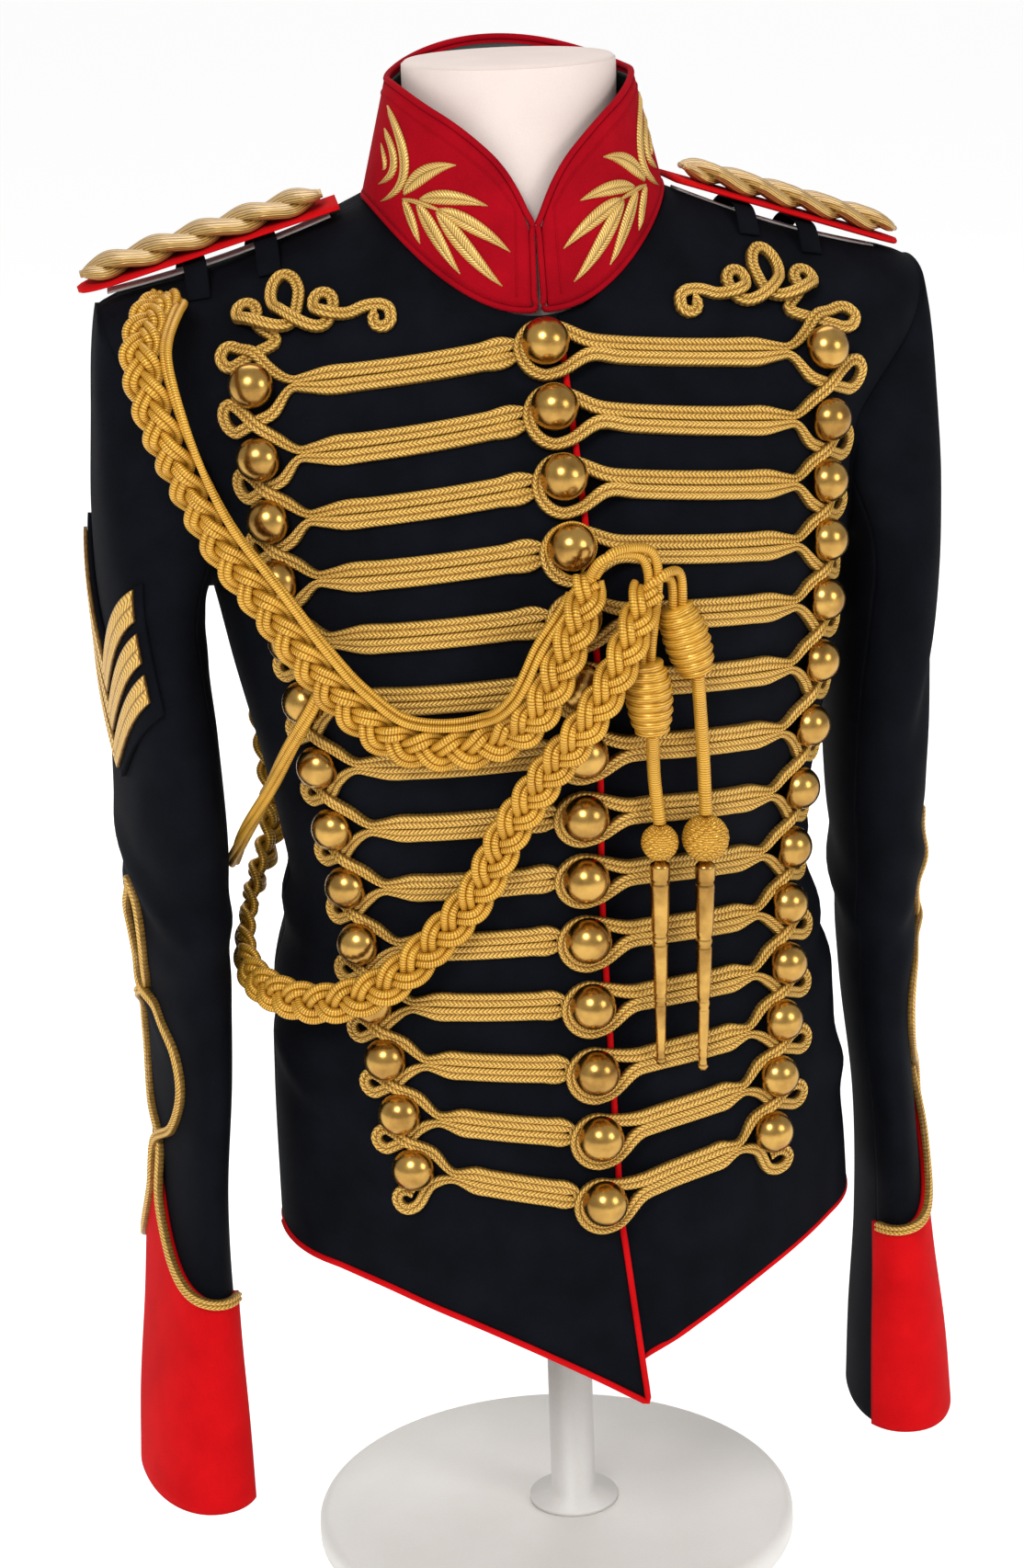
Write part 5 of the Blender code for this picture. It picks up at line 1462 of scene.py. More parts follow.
    def eyelet_nodes(self, high: Pair, low: Pair, stretch: float = 1.0, whole: bool = True) -> Nodes:
        """The crossed loop between two outer buttons, or the loop that ends the braid.

        Args:
            high: Height and distance of the upper button.
            low: The same of the lower button.
            stretch: How much longer than high the loop is.
            whole: Whether the braid crosses itself and goes on.

        Returns:
            Rows of d, h, lift, width.
        """
        nodes = [(high[1] - self.pass_in, high[0] - self.pass_by, 0.0, self.braid)]
        if whole:
            middle, reach, turns = 0.5 * (high[0] + low[0]), 0.5 * (high[1] + low[1]), self.eyelet_turns
            nodes.append((reach - self.eyelet_cross, middle + self.eyelet_cross, 0.0, self.braid))
            reach += self.eyelet_middle * stretch
        else:
            middle, reach, turns = high[0] - self.end_down, high[1] + self.end_out, self.end_turns
        for turn in np.radians(turns):
            spot = (reach + self.eyelet_radius * stretch * math.cos(turn),
                    middle + self.eyelet_radius * math.sin(turn))
            nodes.append((*spot, 0.0, self.braid))
        if whole:
            reach -= self.eyelet_middle * stretch
            nodes.append((reach - self.eyelet_cross, middle - self.eyelet_cross, self.cross_lift, self.braid))
            nodes.append((low[1] - self.pass_in, low[0] + self.pass_by, 0.0, self.braid))
        return nodes

    def strand(self, row: int, sign: float, side: int) -> Nodes:
        """One braid of a row from its outer neck towards the centre; columns d, h, lift, width."""
        outer = self.row_at(row)[2] - self.neck_back
        inner_end = self.loop + self.loop_clear if side > 0 else self.turn_at + self.turn_clear
        nodes = []
        for share in (0.0, 0.06, self.neck_share, *np.linspace(0.3, 1.0, self.strand_nodes)):
            d = outer + (inner_end - outer) * share
            opened = float(ease(share / self.neck_share))
            apart = self.neck_apart + (self.apart - self.neck_apart) * opened
            wide = self.neck_braid + (self.row_braid - self.neck_braid) * opened
            lift = self.loop_lift * float(ease((self.lift_end - d) / self.lift_over)) if side > 0 else 0.0
            high = self.row_height(row, d)
            rise = self.body.place(side, high + self.probe, d)[0] - self.body.place(side, high, d)[0]
            nodes.append((d, high + sign * apart * self.probe / float(np.linalg.norm(rise)), lift, wide))
        return nodes

    def centre_turn(self, row: int, side: int) -> Nodes:
        """How a row turns at the centre: a loop round the button on the left, a close turn on the right."""
        if side > 0:
            middle = self.row_height(row, 0.0) - self.loop_fall
            return [(self.loop * math.cos(a), middle + self.loop * math.sin(a), self.loop_lift, self.braid)
                    for a in np.radians(self.centre_turns)]
        middle = self.row_height(row, self.turn_at)
        return [(self.turn_at, middle + s * self.turn_apart, 0.0, self.turn_braid) for s in (1.0, -1.0)]

    def nodes(self, side: int) -> Array:
        """Path of one side's braid: scroll, rows, eyelets and end loop; columns d, h, lift, width."""
        out, up, first, last = self.curl
        radii = np.linspace(first, last, len(self.curl_turns))
        turns = np.radians(self.curl_turns)
        tail = [(out + r * math.cos(t), up + r * math.sin(t)) for r, t in zip(radii, turns)]
        local = [(*spot, 0.0, self.braid) for spot in (*tail[::-1], *self.scroll_tail[::-1])]
        for loop in self.scroll_loops[::-1]:
            local += self.cursive_loop(*loop)
        stretch = self.left_stretch if side > 0 else 1.0
        local += self.eyelet_nodes((self.scroll_drop, -self.scroll_in), (0.0, 0.0), stretch)
        local = np.array(local)
        placed = self.beside_button(side, local[:, :2])
        nodes = [tuple(row) for row in np.column_stack([placed, local[:, 2:]])]
        for row in range(self.rows):
            nodes += self.strand(row, 1.0, side)
            nodes += self.centre_turn(row, side)
            nodes += self.strand(row, -1.0, side)[::-1]
            _, high, reach = self.row_at(row)
            if row < self.rows - 1:
                _, low, low_reach = self.row_at(row + 1)
                nodes += self.eyelet_nodes((high, reach), (low, low_reach), stretch)
            else:
                nodes += self.eyelet_nodes((high, reach), (high - self.last_drop, reach), stretch, False)
        return np.array(nodes)

    def section(self) -> tuple[Array, Array, Array]:
        """Section of the braid: two round ribs on a flat foot; shares across, heights, pattern marks."""
        across = np.linspace(-1.0, 1.0, 13)
        ribs = self.braid_high * (0.35 + 0.65 * np.abs(np.sin(math.pi * across)) ** 0.7)
        ribs[[0, -1]] = 0.45 * self.braid_high
        u = join([across, [0.96, -0.96]])
        return u, join([ribs, [-self.sunk, -self.sunk]]), join([u, [-1.0]])

    def lay(self, centres: Array, outs: Array, half: Array) -> Surface:
        """A braid laid along a path, with its half width at each point."""
        u, w, marks = self.section()
        return Surface().tube(carry(centres, outs, half[:, None] * u, w), running(centres), marks)

    def dome(self) -> Array:
        """Profile of an outer button: a shank, a flat rim and a dome; columns radius, height."""
        angle = np.radians(np.linspace(-8.0, 88.0, 13))
        wide, high = self.outer_ball * np.cos(angle), self.dome_foot + self.dome_high * np.sin(angle)
        rim = self.dome_foot - self.dome_rim
        foot = [(self.outer_shank, 0.0), (self.outer_shank, rim), (self.dome_neck * self.outer_ball, rim)]
        return join([foot, np.column_stack([wide, high])])

    def ball(self) -> Array:
        """Profile of a front button: a shank that widens into a ball; columns radius, height."""
        angle = np.radians(np.linspace(-68.0, 88.0, 17))
        wide, high = self.front_ball * np.cos(angle), self.ball_middle + self.front_ball * np.sin(angle)
        ball = np.column_stack([wide, high])
        ball[:, 1] = np.maximum(ball[:, 1], self.foot)
        return join([[(self.shank, self.foot)], ball[ball[:, 1] > self.foot + 0.0003]])

    def build(self) -> None:
        """Builds the braids and the buttons."""
        for side in Side:
            path = smooth_path(self.nodes(side.value), self.step, 2)
            centres, outs = self.body.place(side.value, path[:, 1], path[:, 0], self.over + path[:, 2])
            braid = self.lay(centres, outs, path[:, 3] / 2)
            braid.settle(f"chest_braid_{side.word}", Dress.BRAID, f"lacing_{side.word}")
            knobs = Surface()
            for row in range(self.rows):
                _, h, d = self.row_at(row)
                knobs.lathe(self.dome(), *self.body.place(side.value, h, d))
            knobs.settle(f"outer_buttons_{side.word}", Dress.BRASS, f"front_{side.word}")
        for row in range(self.rows):
            name = f"front_button_{row + 1:02d}"
            spot, out = self.body.place(-1, self.row_at(row)[0], 0.0)
            knob = Surface().lathe(self.ball(), spot, out, self.ball_points)
            knob.settle(f"brass_{name}", Dress.BRASS, name)


@dataclass
class ShoulderCords:
    """Twisted cords on felt boards, the bridles under them and the strap through the bridles."""

    body: BodyCloth
    # Columns: distance from the centre, distance back, height; the inner end, then the outer end
    right_board: Array = table((0.09, 0.003, 0.757), (0.223, 0.014, 0.719))
    left_board: Array = table((0.082, 0.003, 0.7605), (0.206, 0.014, 0.7185))
    board_half: float = 0.0205
    board_wall: float = 0.003
    rope_half: float = 0.0185
    rope_high: float = 0.0046
    rope_lobe: float = 0.16
    twists: float = 2.6
    threads: int = 11
    seam: float = 0.0004
    bridles_at: Pair = (0.3, 0.57)
    bridle: float = 0.012
    bridle_wall: float = 0.0015
    bridle_foot: float = 0.03
    strap_half: float = 0.007
    strap_wall: float = 0.0012
    strap_gap: float = 0.0004
    strap_sag: float = 0.0035
    strap_from: float = 0.04
    strap_to: float = 0.9
    band_step: float = 0.002
    bridle_drop: float = 0.0015
    bridle_over: float = 0.0006
    bridle_flare: float = 22.0
    rope_from: float = 0.006
    rope_short: float = 0.01

    def frame(self, side: Side) -> tuple[Array, Array, float, Array]:
        """Start, direction, length and upward direction of a board."""
        rows = self.right_board if side is Side.RIGHT else self.left_board
        start, stop = rows * (side.value, 1.0, 1.0)
        way = unit(stop - start)
        return start, way, float(np.linalg.norm(stop - start)), unit(np.cross(way, (0.0, side.value, 0.0)))

    def plate(self, side: Side) -> Surface:
        """The board: a plate with one round end, its edge softly rounded."""
        start, way, length, up = self.frame(side)
        across = np.cross(up, way)
        t = evenly(61)
        round_ = np.maximum(0.0, t * length - (length - self.board_half)) / self.board_half
        half = self.board_half * np.sqrt(np.maximum(0.0008, 1 - round_ ** 2))
        thick = self.board_wall / 2
        u = join([np.linspace(-1.0, 1.0, 9), np.linspace(1.0, -1.0, 9)])
        w = join([[0.4 * thick], np.full(7, thick), [0.4 * thick, -0.4 * thick],
                            np.full(7, -thick), [-0.4 * thick]])
        centres = start + way * (t * length)[:, None]
        rings = centres[:, None] + across * (half[:, None] * u)[..., None] + up * w[:, None]
        return Surface().tube(rings, t * length, evenly(u.size + 1))

    def rope(self, side: Side) -> Surface:
        """Two strands of parallel threads twisted about each other: a flat double helix of ribbed ovals."""
        start, way, length, up = self.frame(side)
        across = np.cross(up, way)
        t = evenly(201)
        middle = self.rope_high * (1 + self.rope_lobe) + self.board_wall / 2
        line = start + way * (self.rope_from + (length - self.rope_short) * t)[:, None] + up * middle
        end = np.sqrt(np.maximum(0.16, 1 - (2 * t - 1) ** 10))
        angle = circle(50)
        ribs = 1 - 0.1 * np.abs(np.sin(angle * self.threads / 2)) ** 0.6
        surface = Surface()
        for strand in (0.0, math.pi):
            phase = TURN * self.twists * t + strand
            sideways, lift = 0.44 * self.rope_half * np.cos(phase), 0.5 * self.rope_high * np.sin(phase)
            centres = line + across * (sideways * end)[:, None] + up * (lift * end)[:, None]
            lean = np.arctan2(np.gradient(sideways), np.gradient(t * length))
            wide = 0.72 * self.rope_half * end / np.maximum(0.72, np.cos(lean))
            u = wide[:, None] * np.cos(angle) * ribs
            w = (0.92 * self.rope_high * end)[:, None] * np.sin(angle) * ribs
            rings = centres[:, None] + across * u[..., None] + up * w[..., None]
            surface.tube(rings, running(centres), np.linspace(0.0, self.threads, 51))
        return surface

    def shoulder_height(self, x: float, y: float) -> float:
        """Height of the cloth on the shoulder at a place in plan."""
        tops = self.body.spots[self.body.heights >= self.body.arm_top]
        spots = tops.reshape(-1, 3)
        near = np.argsort((spots[:, 0] - abs(x)) ** 2 + (spots[:, 1] - y) ** 2)[:6]
        return float(spots[near, 2].mean())

    def ribbon(self, path: Array, outs: Array, half: float, thick: float) -> Surface:
        """A flat band along a path."""
        centres, outs = smooth_route(path, outs, self.band_step)
        u = half * np.array([-1.0, -0.9, 0.9, 1.0, 0.9, -0.9])
        w = thick * np.array([0.5, 1.0, 1.0, 0.5, 0.0, 0.0])
        return Surface().tube(carry(centres, outs, u, w), running(centres), evenly(u.size + 1))

    def bridle_band(self, top: Array, up: Array) -> Surface:
        """A bridle under a board, from the shoulder in front of it to the shoulder behind it.

        Args:
            top: The band's middle.
            up: The board's upward direction.

        Returns:
            The band.
        """
        half, drop = self.board_half, self.bridle_drop
        path, outs = [], []
        for back, fall in ((-self.bridle_foot, None), (-0.85 * half, drop), (-0.5 * half, 0.0), (0.0, 0.0),
                           (0.5 * half, 0.0), (0.85 * half, drop), (self.bridle_foot, None)):
            y = top[1] + back
            shoulder = self.shoulder_height(top[0], y) + self.bridle_over
            path.append((top[0], y, shoulder if fall is None else top[2] - fall))
            outs.append(unit(up + np.array([0.0, back * self.bridle_flare, 0.0])))
        return self.ribbon(np.array(path), np.array(outs), self.bridle / 2, self.bridle_wall)

    def build(self) -> None:
        """Builds both shoulders."""
        for side in Side:
            start, way, length, up = self.frame(side)
            self.plate(side).settle(f"felt_board_{side.word}", Dress.SCARLET, f"shoulder_board_{side.word}")
            self.rope(side).settle(f"twisted_cord_{side.word}", Dress.ROPE, f"shoulder_cord_{side.word}")
            under = up * (self.board_wall / 2 + self.seam + self.bridle_wall)
            for number, share in enumerate(self.bridles_at, start=1):
                band = self.bridle_band(start + way * length * share - under, up)
                name = f"shoulder_bridle_{side.word}_{number}"
                band.settle(f"wool_{name}", Dress.WOOL, name)
            shares = np.linspace(self.strap_from, self.strap_to, 12)
            sag = self.strap_sag * np.sin(math.pi * shares)
            path = start + way * (length * shares)[:, None] - under
            path = path - up * (self.strap_wall + self.strap_gap + sag)[:, None]
            strap = self.ribbon(path, np.broadcast_to(up, path.shape), self.strap_half, self.strap_wall)
            strap.settle(f"board_strap_{side.word}", Dress.STRAP)


@dataclass
class SleeveTrim:
    """The badge of chevrons on the right sleeve and the braid above both cuffs."""

    sleeves: Sleeves
    lacing: Lacing
    middle: float = 0.021
    top: float = 0.072
    pitch: float = 0.0187
    tall: float = 0.0135
    reach: float = 0.05
    fall: float = 0.046
    margin: float = 0.005
    badge_wall: float = 0.001
    stripe_wall: float = 0.0018
    stripe_over: float = 0.0002
    braid: float = 0.0054
    # Columns: around to the front, along the sleeve; the knot's path from the cuff's point to its top
    knot: Array = table(
        (0.0000, 0.383), (-0.025, 0.367), (-0.039, 0.341), (-0.034, 0.316),
        (-0.015, 0.302), (0.0000, 0.295), (0.0115, 0.281), (0.0125, 0.256),
    )
    knot_top: float = 0.235
    backing_flat: Pair = (0.112, 0.105)
    badge_sunk: float = 0.0016
    ripple: float = 0.0004
    on_cuff: float = 0.0008
    in_sleeve: float = 0.0006
    from_front: float = 0.007
    from_back: float = 0.004
    crossing: float = 0.004

    def chevron(self, top: float, tall: float, reach: float, out: float, wall: float, ribs: int) -> Surface:
        """A V on the right sleeve: its arms fall evenly to the middle, and its face has low ribs along it."""
        cloth = self.sleeves.cloths[Side.RIGHT]
        a = np.linspace(-reach, reach, 61)[None, :]
        level = np.linspace(1.0, 0.0, 25)[:, None]
        q = top + self.fall * (1 - np.abs(a) / reach) + tall * level
        around = np.broadcast_to(self.middle + a, q.shape)
        ripple = self.ripple * np.abs(np.sin(math.pi * ribs * level)) if ribs else 0.0 * level
        outer, inner = cloth.place(q, around, out + wall + ripple)[0], cloth.place(q, around, out)[0]
        return Surface().shell(outer, inner, np.abs(a) + 0.0 * q, 2 * level - 1 + 0.0 * q)

    def cuff_path(self, side: Side) -> Array:
        """Path of a sleeve's braid up the cuff, round the knot and down; columns around, along, out."""
        s, lacing = self.sleeves, self.lacing
        low, high = s.over + s.felt + self.on_cuff, s.over - self.in_sleeve
        shares = np.linspace(1.0, 0.14, 6)
        whole = float(s.cloths[side].round_length(s.cuff_low))
        up = [(f * (s.front_seam * whole - self.from_front), s.cuff_edge(f), low) for f in shares]
        back = [(-f * (s.back_seam * whole - self.from_back), s.cuff_edge(f), low) for f in shares[::-1]]
        loops = [(a, q, high) for a, q in self.knot]
        lifts = [lacing.cross_lift if abs(a) < self.crossing else 0.0 for a, _ in self.knot[::-1]]
        mirrored = [(-a, q, high + lift) for (a, q), lift in zip(self.knot[::-1], lifts)]
        return np.array(up + loops + [(0.0, self.knot_top, high)] + mirrored + back)

    def build(self) -> None:
        """Builds the badge and both sleeves' braids."""
        over = self.sleeves.over
        tall = 2 * self.pitch + self.tall + 2 * self.margin
        wide = self.reach + self.margin
        under, wall = over - self.badge_sunk, self.badge_wall + self.badge_sunk
        patch = self.chevron(self.top - self.margin, tall, wide, under, wall, 0)
        patch.settle_sheet(
            "badge_patch", Dress.WOOL, "chevron_backing", self.backing_flat, "stretched", "sleeve_outer_right")
        under = over + self.badge_wall + self.stripe_over
        for number in range(3):
            top = self.top + self.pitch * number
            stripe = self.chevron(top, self.tall, self.reach, under, self.stripe_wall, 2)
            name = f"chevron_stripe_{number + 1}"
            stripe.settle(f"lace_{name}", Dress.BRAID, name)
        for side in Side:
            path = smooth_path(self.cuff_path(side), self.lacing.step, 2)
            centres, outs = self.sleeves.cloths[side].place(path[:, 1], path[:, 0], path[:, 2])
            braid = self.lacing.lay(centres, outs, np.full(len(path), self.braid / 2))
            name = f"sleeve_braid_{side.word}"
            braid.settle(f"gold_{name}", Dress.BRAID, name)


@dataclass
class Aiguillette:
    """Plaits and plain cords from the right shoulder to the chest, with two hanging ends."""

    body: BodyCloth
    lacing: Lacing
    # Columns: ring height, distance to the right, distance out
    front_route: Array = table(
        (0.677, 0.1975, 0.0058), (0.668, 0.197, 0.023), (0.659, 0.1915, 0.04), (0.649, 0.179, 0.045),
        (0.633, 0.166, 0.042), (0.6, 0.155, 0.036), (0.573, 0.1395, 0.03), (0.5475, 0.125, 0.0245),
        (0.523, 0.11, 0.0165), (0.506, 0.09, 0.0135), (0.502, 0.061, 0.013), (0.507, 0.042, 0.016),
        (0.522, 0.026, 0.029), (0.545, 0.013, 0.03), (0.566, 0.002, 0.029), (0.58, -0.004, 0.027),
    )
    under_route: Array = table(
        (0.66, 0.32, 0.0082), (0.63, 0.327, 0.0098), (0.585, 0.32, 0.011), (0.53, 0.3, 0.011),
        (0.47, 0.27, 0.012), (0.418, 0.243, 0.016), (0.381, 0.219, 0.018), (0.359, 0.189, 0.0205),
        (0.355, 0.154, 0.0235), (0.358, 0.123, 0.0245), (0.372, 0.095, 0.0225), (0.394, 0.074, 0.0145),
        (0.418, 0.056, 0.013), (0.458, 0.037, 0.013), (0.49, 0.02, 0.02), (0.515, 0.004, 0.0295),
        (0.535, -0.01, 0.0295), (0.556, -0.022, 0.027), (0.574, -0.032, 0.022),
    )
    arm_route: Array = table(
        (0.54, 0.12, 0.011), (0.5235, 0.127, 0.0185), (0.502, 0.139, 0.021), (0.479, 0.151, 0.0215),
        (0.448, 0.169, 0.026), (0.417, 0.193, 0.029),
    )
    # Columns: ring height, distance to the left, distance out: a knot's top and foot, then the cord's middle
    hang_1: Array = table((0.54, 0.03, 0.016), (0.506, 0.032, 0.016), (0.476, 0.035, 0.0095))
    hang_2: Array = table((0.564, 0.047, 0.0144), (0.532, 0.056, 0.0144), (0.486, 0.0605, 0.0095))
    # Columns: ring height and distance to the left of a ball's middle, then of a tag's foot
    hang_ends: Array = table((0.444, 0.036, 0.319, 0.033), (0.444, 0.0585, 0.312, 0.055))
    balls: Pair = (0.0095, 0.012)
    plait_half: float = 0.0112
    plait_step: float = 0.0012
    strand_cord: float = 0.0021
    strand_deep: float = 0.0029
    plait_turn: float = 0.046
    cord: float = 0.0032
    cord_aside: float = 0.0138
    rest: float = 0.0046
    tag_out: float = 0.01
    knot_barrel: float = 0.0098
    arch: float = 0.22
    knot_space: float = 0.0018
    hang_cord: float = 0.0034
    tag_top: float = 0.0052
    tag_end: float = 0.0036
    seam: float = 0.0004
    thread: float = 0.0007
    thread_ring: float = 0.0126
    thread_out: float = 0.007
    thread_apart: float = 0.002
    thread_row: int = 3
    cords_apart: float = 0.0024
    arch_step: float = 0.0015
    hang_step: float = 0.0012
    thread_step: float = 0.001
    tag_rings: tuple[float, ...] = (0.05, 0.09, 0.3, 0.34, 0.6, 0.64, 0.9)
    tag_ball: float = 0.03
    wraps: float = 7.0
    barrel_grid: tuple[int, int] = (71, 40)
    ball_grid: tuple[int, int] = (65, 120)
    beside_rows: tuple[int, int] = (3, -8)

    def route(self, rows: Array) -> tuple[Array, Array]:
        """Centres and outward directions along a route on the body's cloth."""
        spots, outs = self.body.place(-1, rows[:, 0], rows[:, 1], rows[:, 2], creased=False)
        return smooth_route(spots, outs, self.plait_step)

    def plait(self, centres: Array, outs: Array) -> Surface:
        """Three strands of two cords each.

        A strand sways sideways by the sine of its turn and dips by the sine of twice its turn, a third of a
        turn after the strand before it, and its two cords lie side by side.
        """
        turn = TURN * running(centres) / self.plait_turn
        share = np.linspace(-1.0, 1.0, len(centres))
        narrow = 1 - 0.22 * share ** 6
        sway = self.plait_half - 2 * self.strand_cord
        surface = Surface()
        for strand in range(3):
            phase = turn + TURN * strand / 3
            middle = aside(centres, outs, sway * narrow * np.sin(phase), self.strand_deep * np.sin(2 * phase))
            for half in (-1.0, 1.0):
                path = aside(middle, outs, half * 0.94 * self.strand_cord, 0.0)
                surface.cord(path, outs, self.strand_cord)
        return surface

    def bundle(self, centres: Array, outs: Array, radius: float, cords: int, twist: float) -> Surface:
        """Cords side by side that turn slowly about the path."""
        surface = Surface()
        turn = TURN * running(centres) / twist
        for number in range(cords):
            phase = turn + TURN * number / cords
            path = aside(centres, outs, radius * np.cos(phase), radius * np.sin(phase))
            surface.cord(path, outs, radius * 0.98)
        return surface

    def barrel(self, low: Array, high: Array) -> Surface:
        """A knot's wrapped barrel: a rounded drum with slanting wraps, each a half circle of its height."""
        rows, points = self.barrel_grid
        length = float(np.linalg.norm(high - low))
        t, around = evenly(rows), circle(points)
        swell = np.sin(math.pi * (0.16 + 0.68 * t)) ** 0.45
        slant = around[None, :] / TURN + 0.25 * np.sin(around)
        wraps = np.abs(np.sin(math.pi * (self.wraps * t[:, None] + slant)))
        radius = 1.22 * self.knot_barrel * swell[:, None] * (0.82 + 0.18 * wraps ** 0.6)
        rings = turned(np.column_stack([np.ones(rows), t * length]), low, high - low, points)
        axis = low + (high - low) * t[:, None]
        rings = axis[:, None] + (rings - axis[:, None]) * radius[..., None]
        return Surface().tube(rings, t * length, evenly(points + 1))

    def net_ball(self, low: Array, high: Array, radius: float) -> Surface:
        """A ball of needle net: a sphere with raised diamonds, the larger of two slanting waves."""
        rows, points = self.ball_grid
        polar, around = np.linspace(0.06, math.pi - 0.06, rows), circle(points)
        profile = np.column_stack([radius * np.sin(polar), radius * (1 - np.cos(polar))])
        rings = turned(profile, low, high - low, points)
        centre = 0.5 * (low + high)
        first = np.sin(7 * around[None, :] + 8 * polar[:, None])
        second = np.sin(7 * around[None, :] - 8 * polar[:, None])
        net = np.maximum(np.exp(-((first / 0.42) ** 2)), np.exp(-((second / 0.42) ** 2)))
        rings = centre + (rings - centre) * (0.9 + 0.12 * net)[..., None]
        return Surface().tube(rings, running(profile), evenly(points + 1))

    def tag(self, length: float) -> Array:
        """Profile of a tag: a slim cone with engraved rings near its ends and a small tip ball."""
        t = evenly(121)
        radius = 0.62 * self.tag_end + (1.04 * self.tag_top - 0.62 * self.tag_end) * t ** 0.9
        rings = sum(np.exp(-(((t - at) / 0.008) ** 2)) for at in self.tag_rings)
        radius = radius * (1 - 0.14 * rings) * np.sqrt(np.clip((1 - t) / 0.02, 0.2, 1.0))
        ball = 0.9 * self.tag_end * np.sin(math.pi * t / self.tag_ball)
        radius = np.where(t < self.tag_ball, np.maximum(radius, ball), radius)
        return np.column_stack([radius, t * length])

    def hang(self, number: int, rows: Array, plait_end: tuple[Array, Array]) -> None:
        """One hanging end: cords from the plait into a knot, a cord, a net ball and a tag.

        Args:
            number: Which of the two ends.
            rows: Ring height, distance and distance out of the knot's top and foot and the cord's middle.
            plait_end: Where the plait ends, and the outward direction there.
        """
        ball, ends = self.balls[number - 1], self.hang_ends[number - 1]
        spots, outs = self.body.place(1, rows[:, 0], rows[:, 1], rows[:, 2], creased=False)
        top, foot, middle = spots
        knot = self.barrel(foot, top)
        start, out = plait_end
        span = float(np.linalg.norm(top - start))
        for shift in (-self.cords_apart, self.cords_apart):
            bend = np.array([start, start, top, top]) + out * np.array([[0.0], [0.1], [0.1], [0.0]]) * span
            bend[1:3, 2] = max(start[2], top[2]) + self.arch * span
            bend[1, 0], bend[2, 0] = start[0] + 0.25 * (top - start)[0], top[0] - 0.1 * (top - start)[0]
            bend[3] = top - (top - foot) * 0.12
            path = smooth_path(bend + np.array([shift, 0.0, 0.6 * shift]), self.arch_step)
            knot.cord(path, out, 1.15 * self.strand_cord)
        knot.settle(f"wound_knot_{number}", Dress.CORD, f"hanging_knot_{number}")
        centre = self.body.place(1, ends[0], ends[1], self.rest + ball, creased=False)[0]
        below = self.body.place(1, ends[2], ends[3], self.tag_out, creased=False)[0]
        way = unit(centre - below)
        start = foot - unit(foot - middle) * self.knot_space
        stop = centre + way * (ball + 2 * self.seam)
        path = smooth_path(np.array([start, middle, stop]), self.hang_step)
        line = Surface().cord(path, outs[0], self.hang_cord, 14)
        hanging = line.settle(f"wound_cord_{number}", Dress.CORD, f"hanging_cord_{number}")
        globe = self.net_ball(centre - way * ball, centre + way * ball, ball)
        netted = globe.settle(f"net_ball_{number}", Dress.CORD, f"hanging_ball_{number}")
        length = float(np.linalg.norm(centre - way * (ball + self.seam) - below))
        point = Surface().lathe(self.tag(length), below, way, 24)
        point.settle(f"brass_tag_{number}", Dress.BRASS, f"hanging_tag_{number}")
        declare_cord(hanging, path, 2 * self.hang_cord, far_end="fitting", with_pieces=[netted])

    def lead(self, node: str, cord: Surface, path: Array, thick: float) -> None:
        declare_cord(cord.settle(f"gold_{node}", Dress.CORD, node), path, thick)

    def tie(self, end: Array) -> None:
        """The thread from the front plait's end round a front button."""
        button, out = self.body.place(-1, self.lacing.row_at(self.thread_row)[0], 0.0, self.thread_out)
        angle = np.radians(np.linspace(-60.0, 240.0, 11))[:, None]
        ring = button + self.thread_ring * (np.cos(angle) * (1.0, 0.0, 0.0) + np.sin(angle) * (0.0, 0.0, 1.0))
        apart = np.array([self.thread_apart, 0.0, 0.0])
        path = smooth_path(join([[end + apart], ring, [end - apart]]), self.thread_step)
        piece = Surface().cord(path, out, self.thread, 8).settle("button_thread", Dress.CORD)
        declare_cord(piece, path, 2 * self.thread, stiffness="limp", lay="taut")

    def build(self) -> None:
        """Builds the plaits, the plain cords, the hanging ends and the thread."""
        front, front_outs = self.route(self.front_route)
        self.lead("plait_front", self.plait(front, front_outs), front, 2 * self.plait_half)
        under, under_outs = self.route(self.under_route)
        self.lead("plait_under_arm", self.plait(under, under_outs), under, 2 * self.plait_half)
        share, kept = evenly(len(front)), slice(*self.beside_rows)
        clear = ease(share / 0.06) * ease((1 - share) / 0.1)
        beside = aside(front, front_outs, self.cord_aside * (0.35 + 0.65 * clear), -0.005 * (1 - clear))[kept]
        pair = self.bundle(beside, front_outs[kept], 0.6 * self.cord, 2, 0.9)
        self.lead("cord_front", pair, beside, 2 * self.cord)
        arm, arm_outs = self.route(self.arm_route)
        four = self.bundle(arm, arm_outs, 0.62 * self.cord, 4, 0.3)
        self.lead("cord_under_arm", four, arm, 2 * self.cord)
        self.hang(1, self.hang_1, (front[-1], front_outs[-1]))
        self.hang(2, self.hang_2, (under[-1], under_outs[-1]))
        self.tie(front[-1] + front_outs[-1] * self.strand_cord)


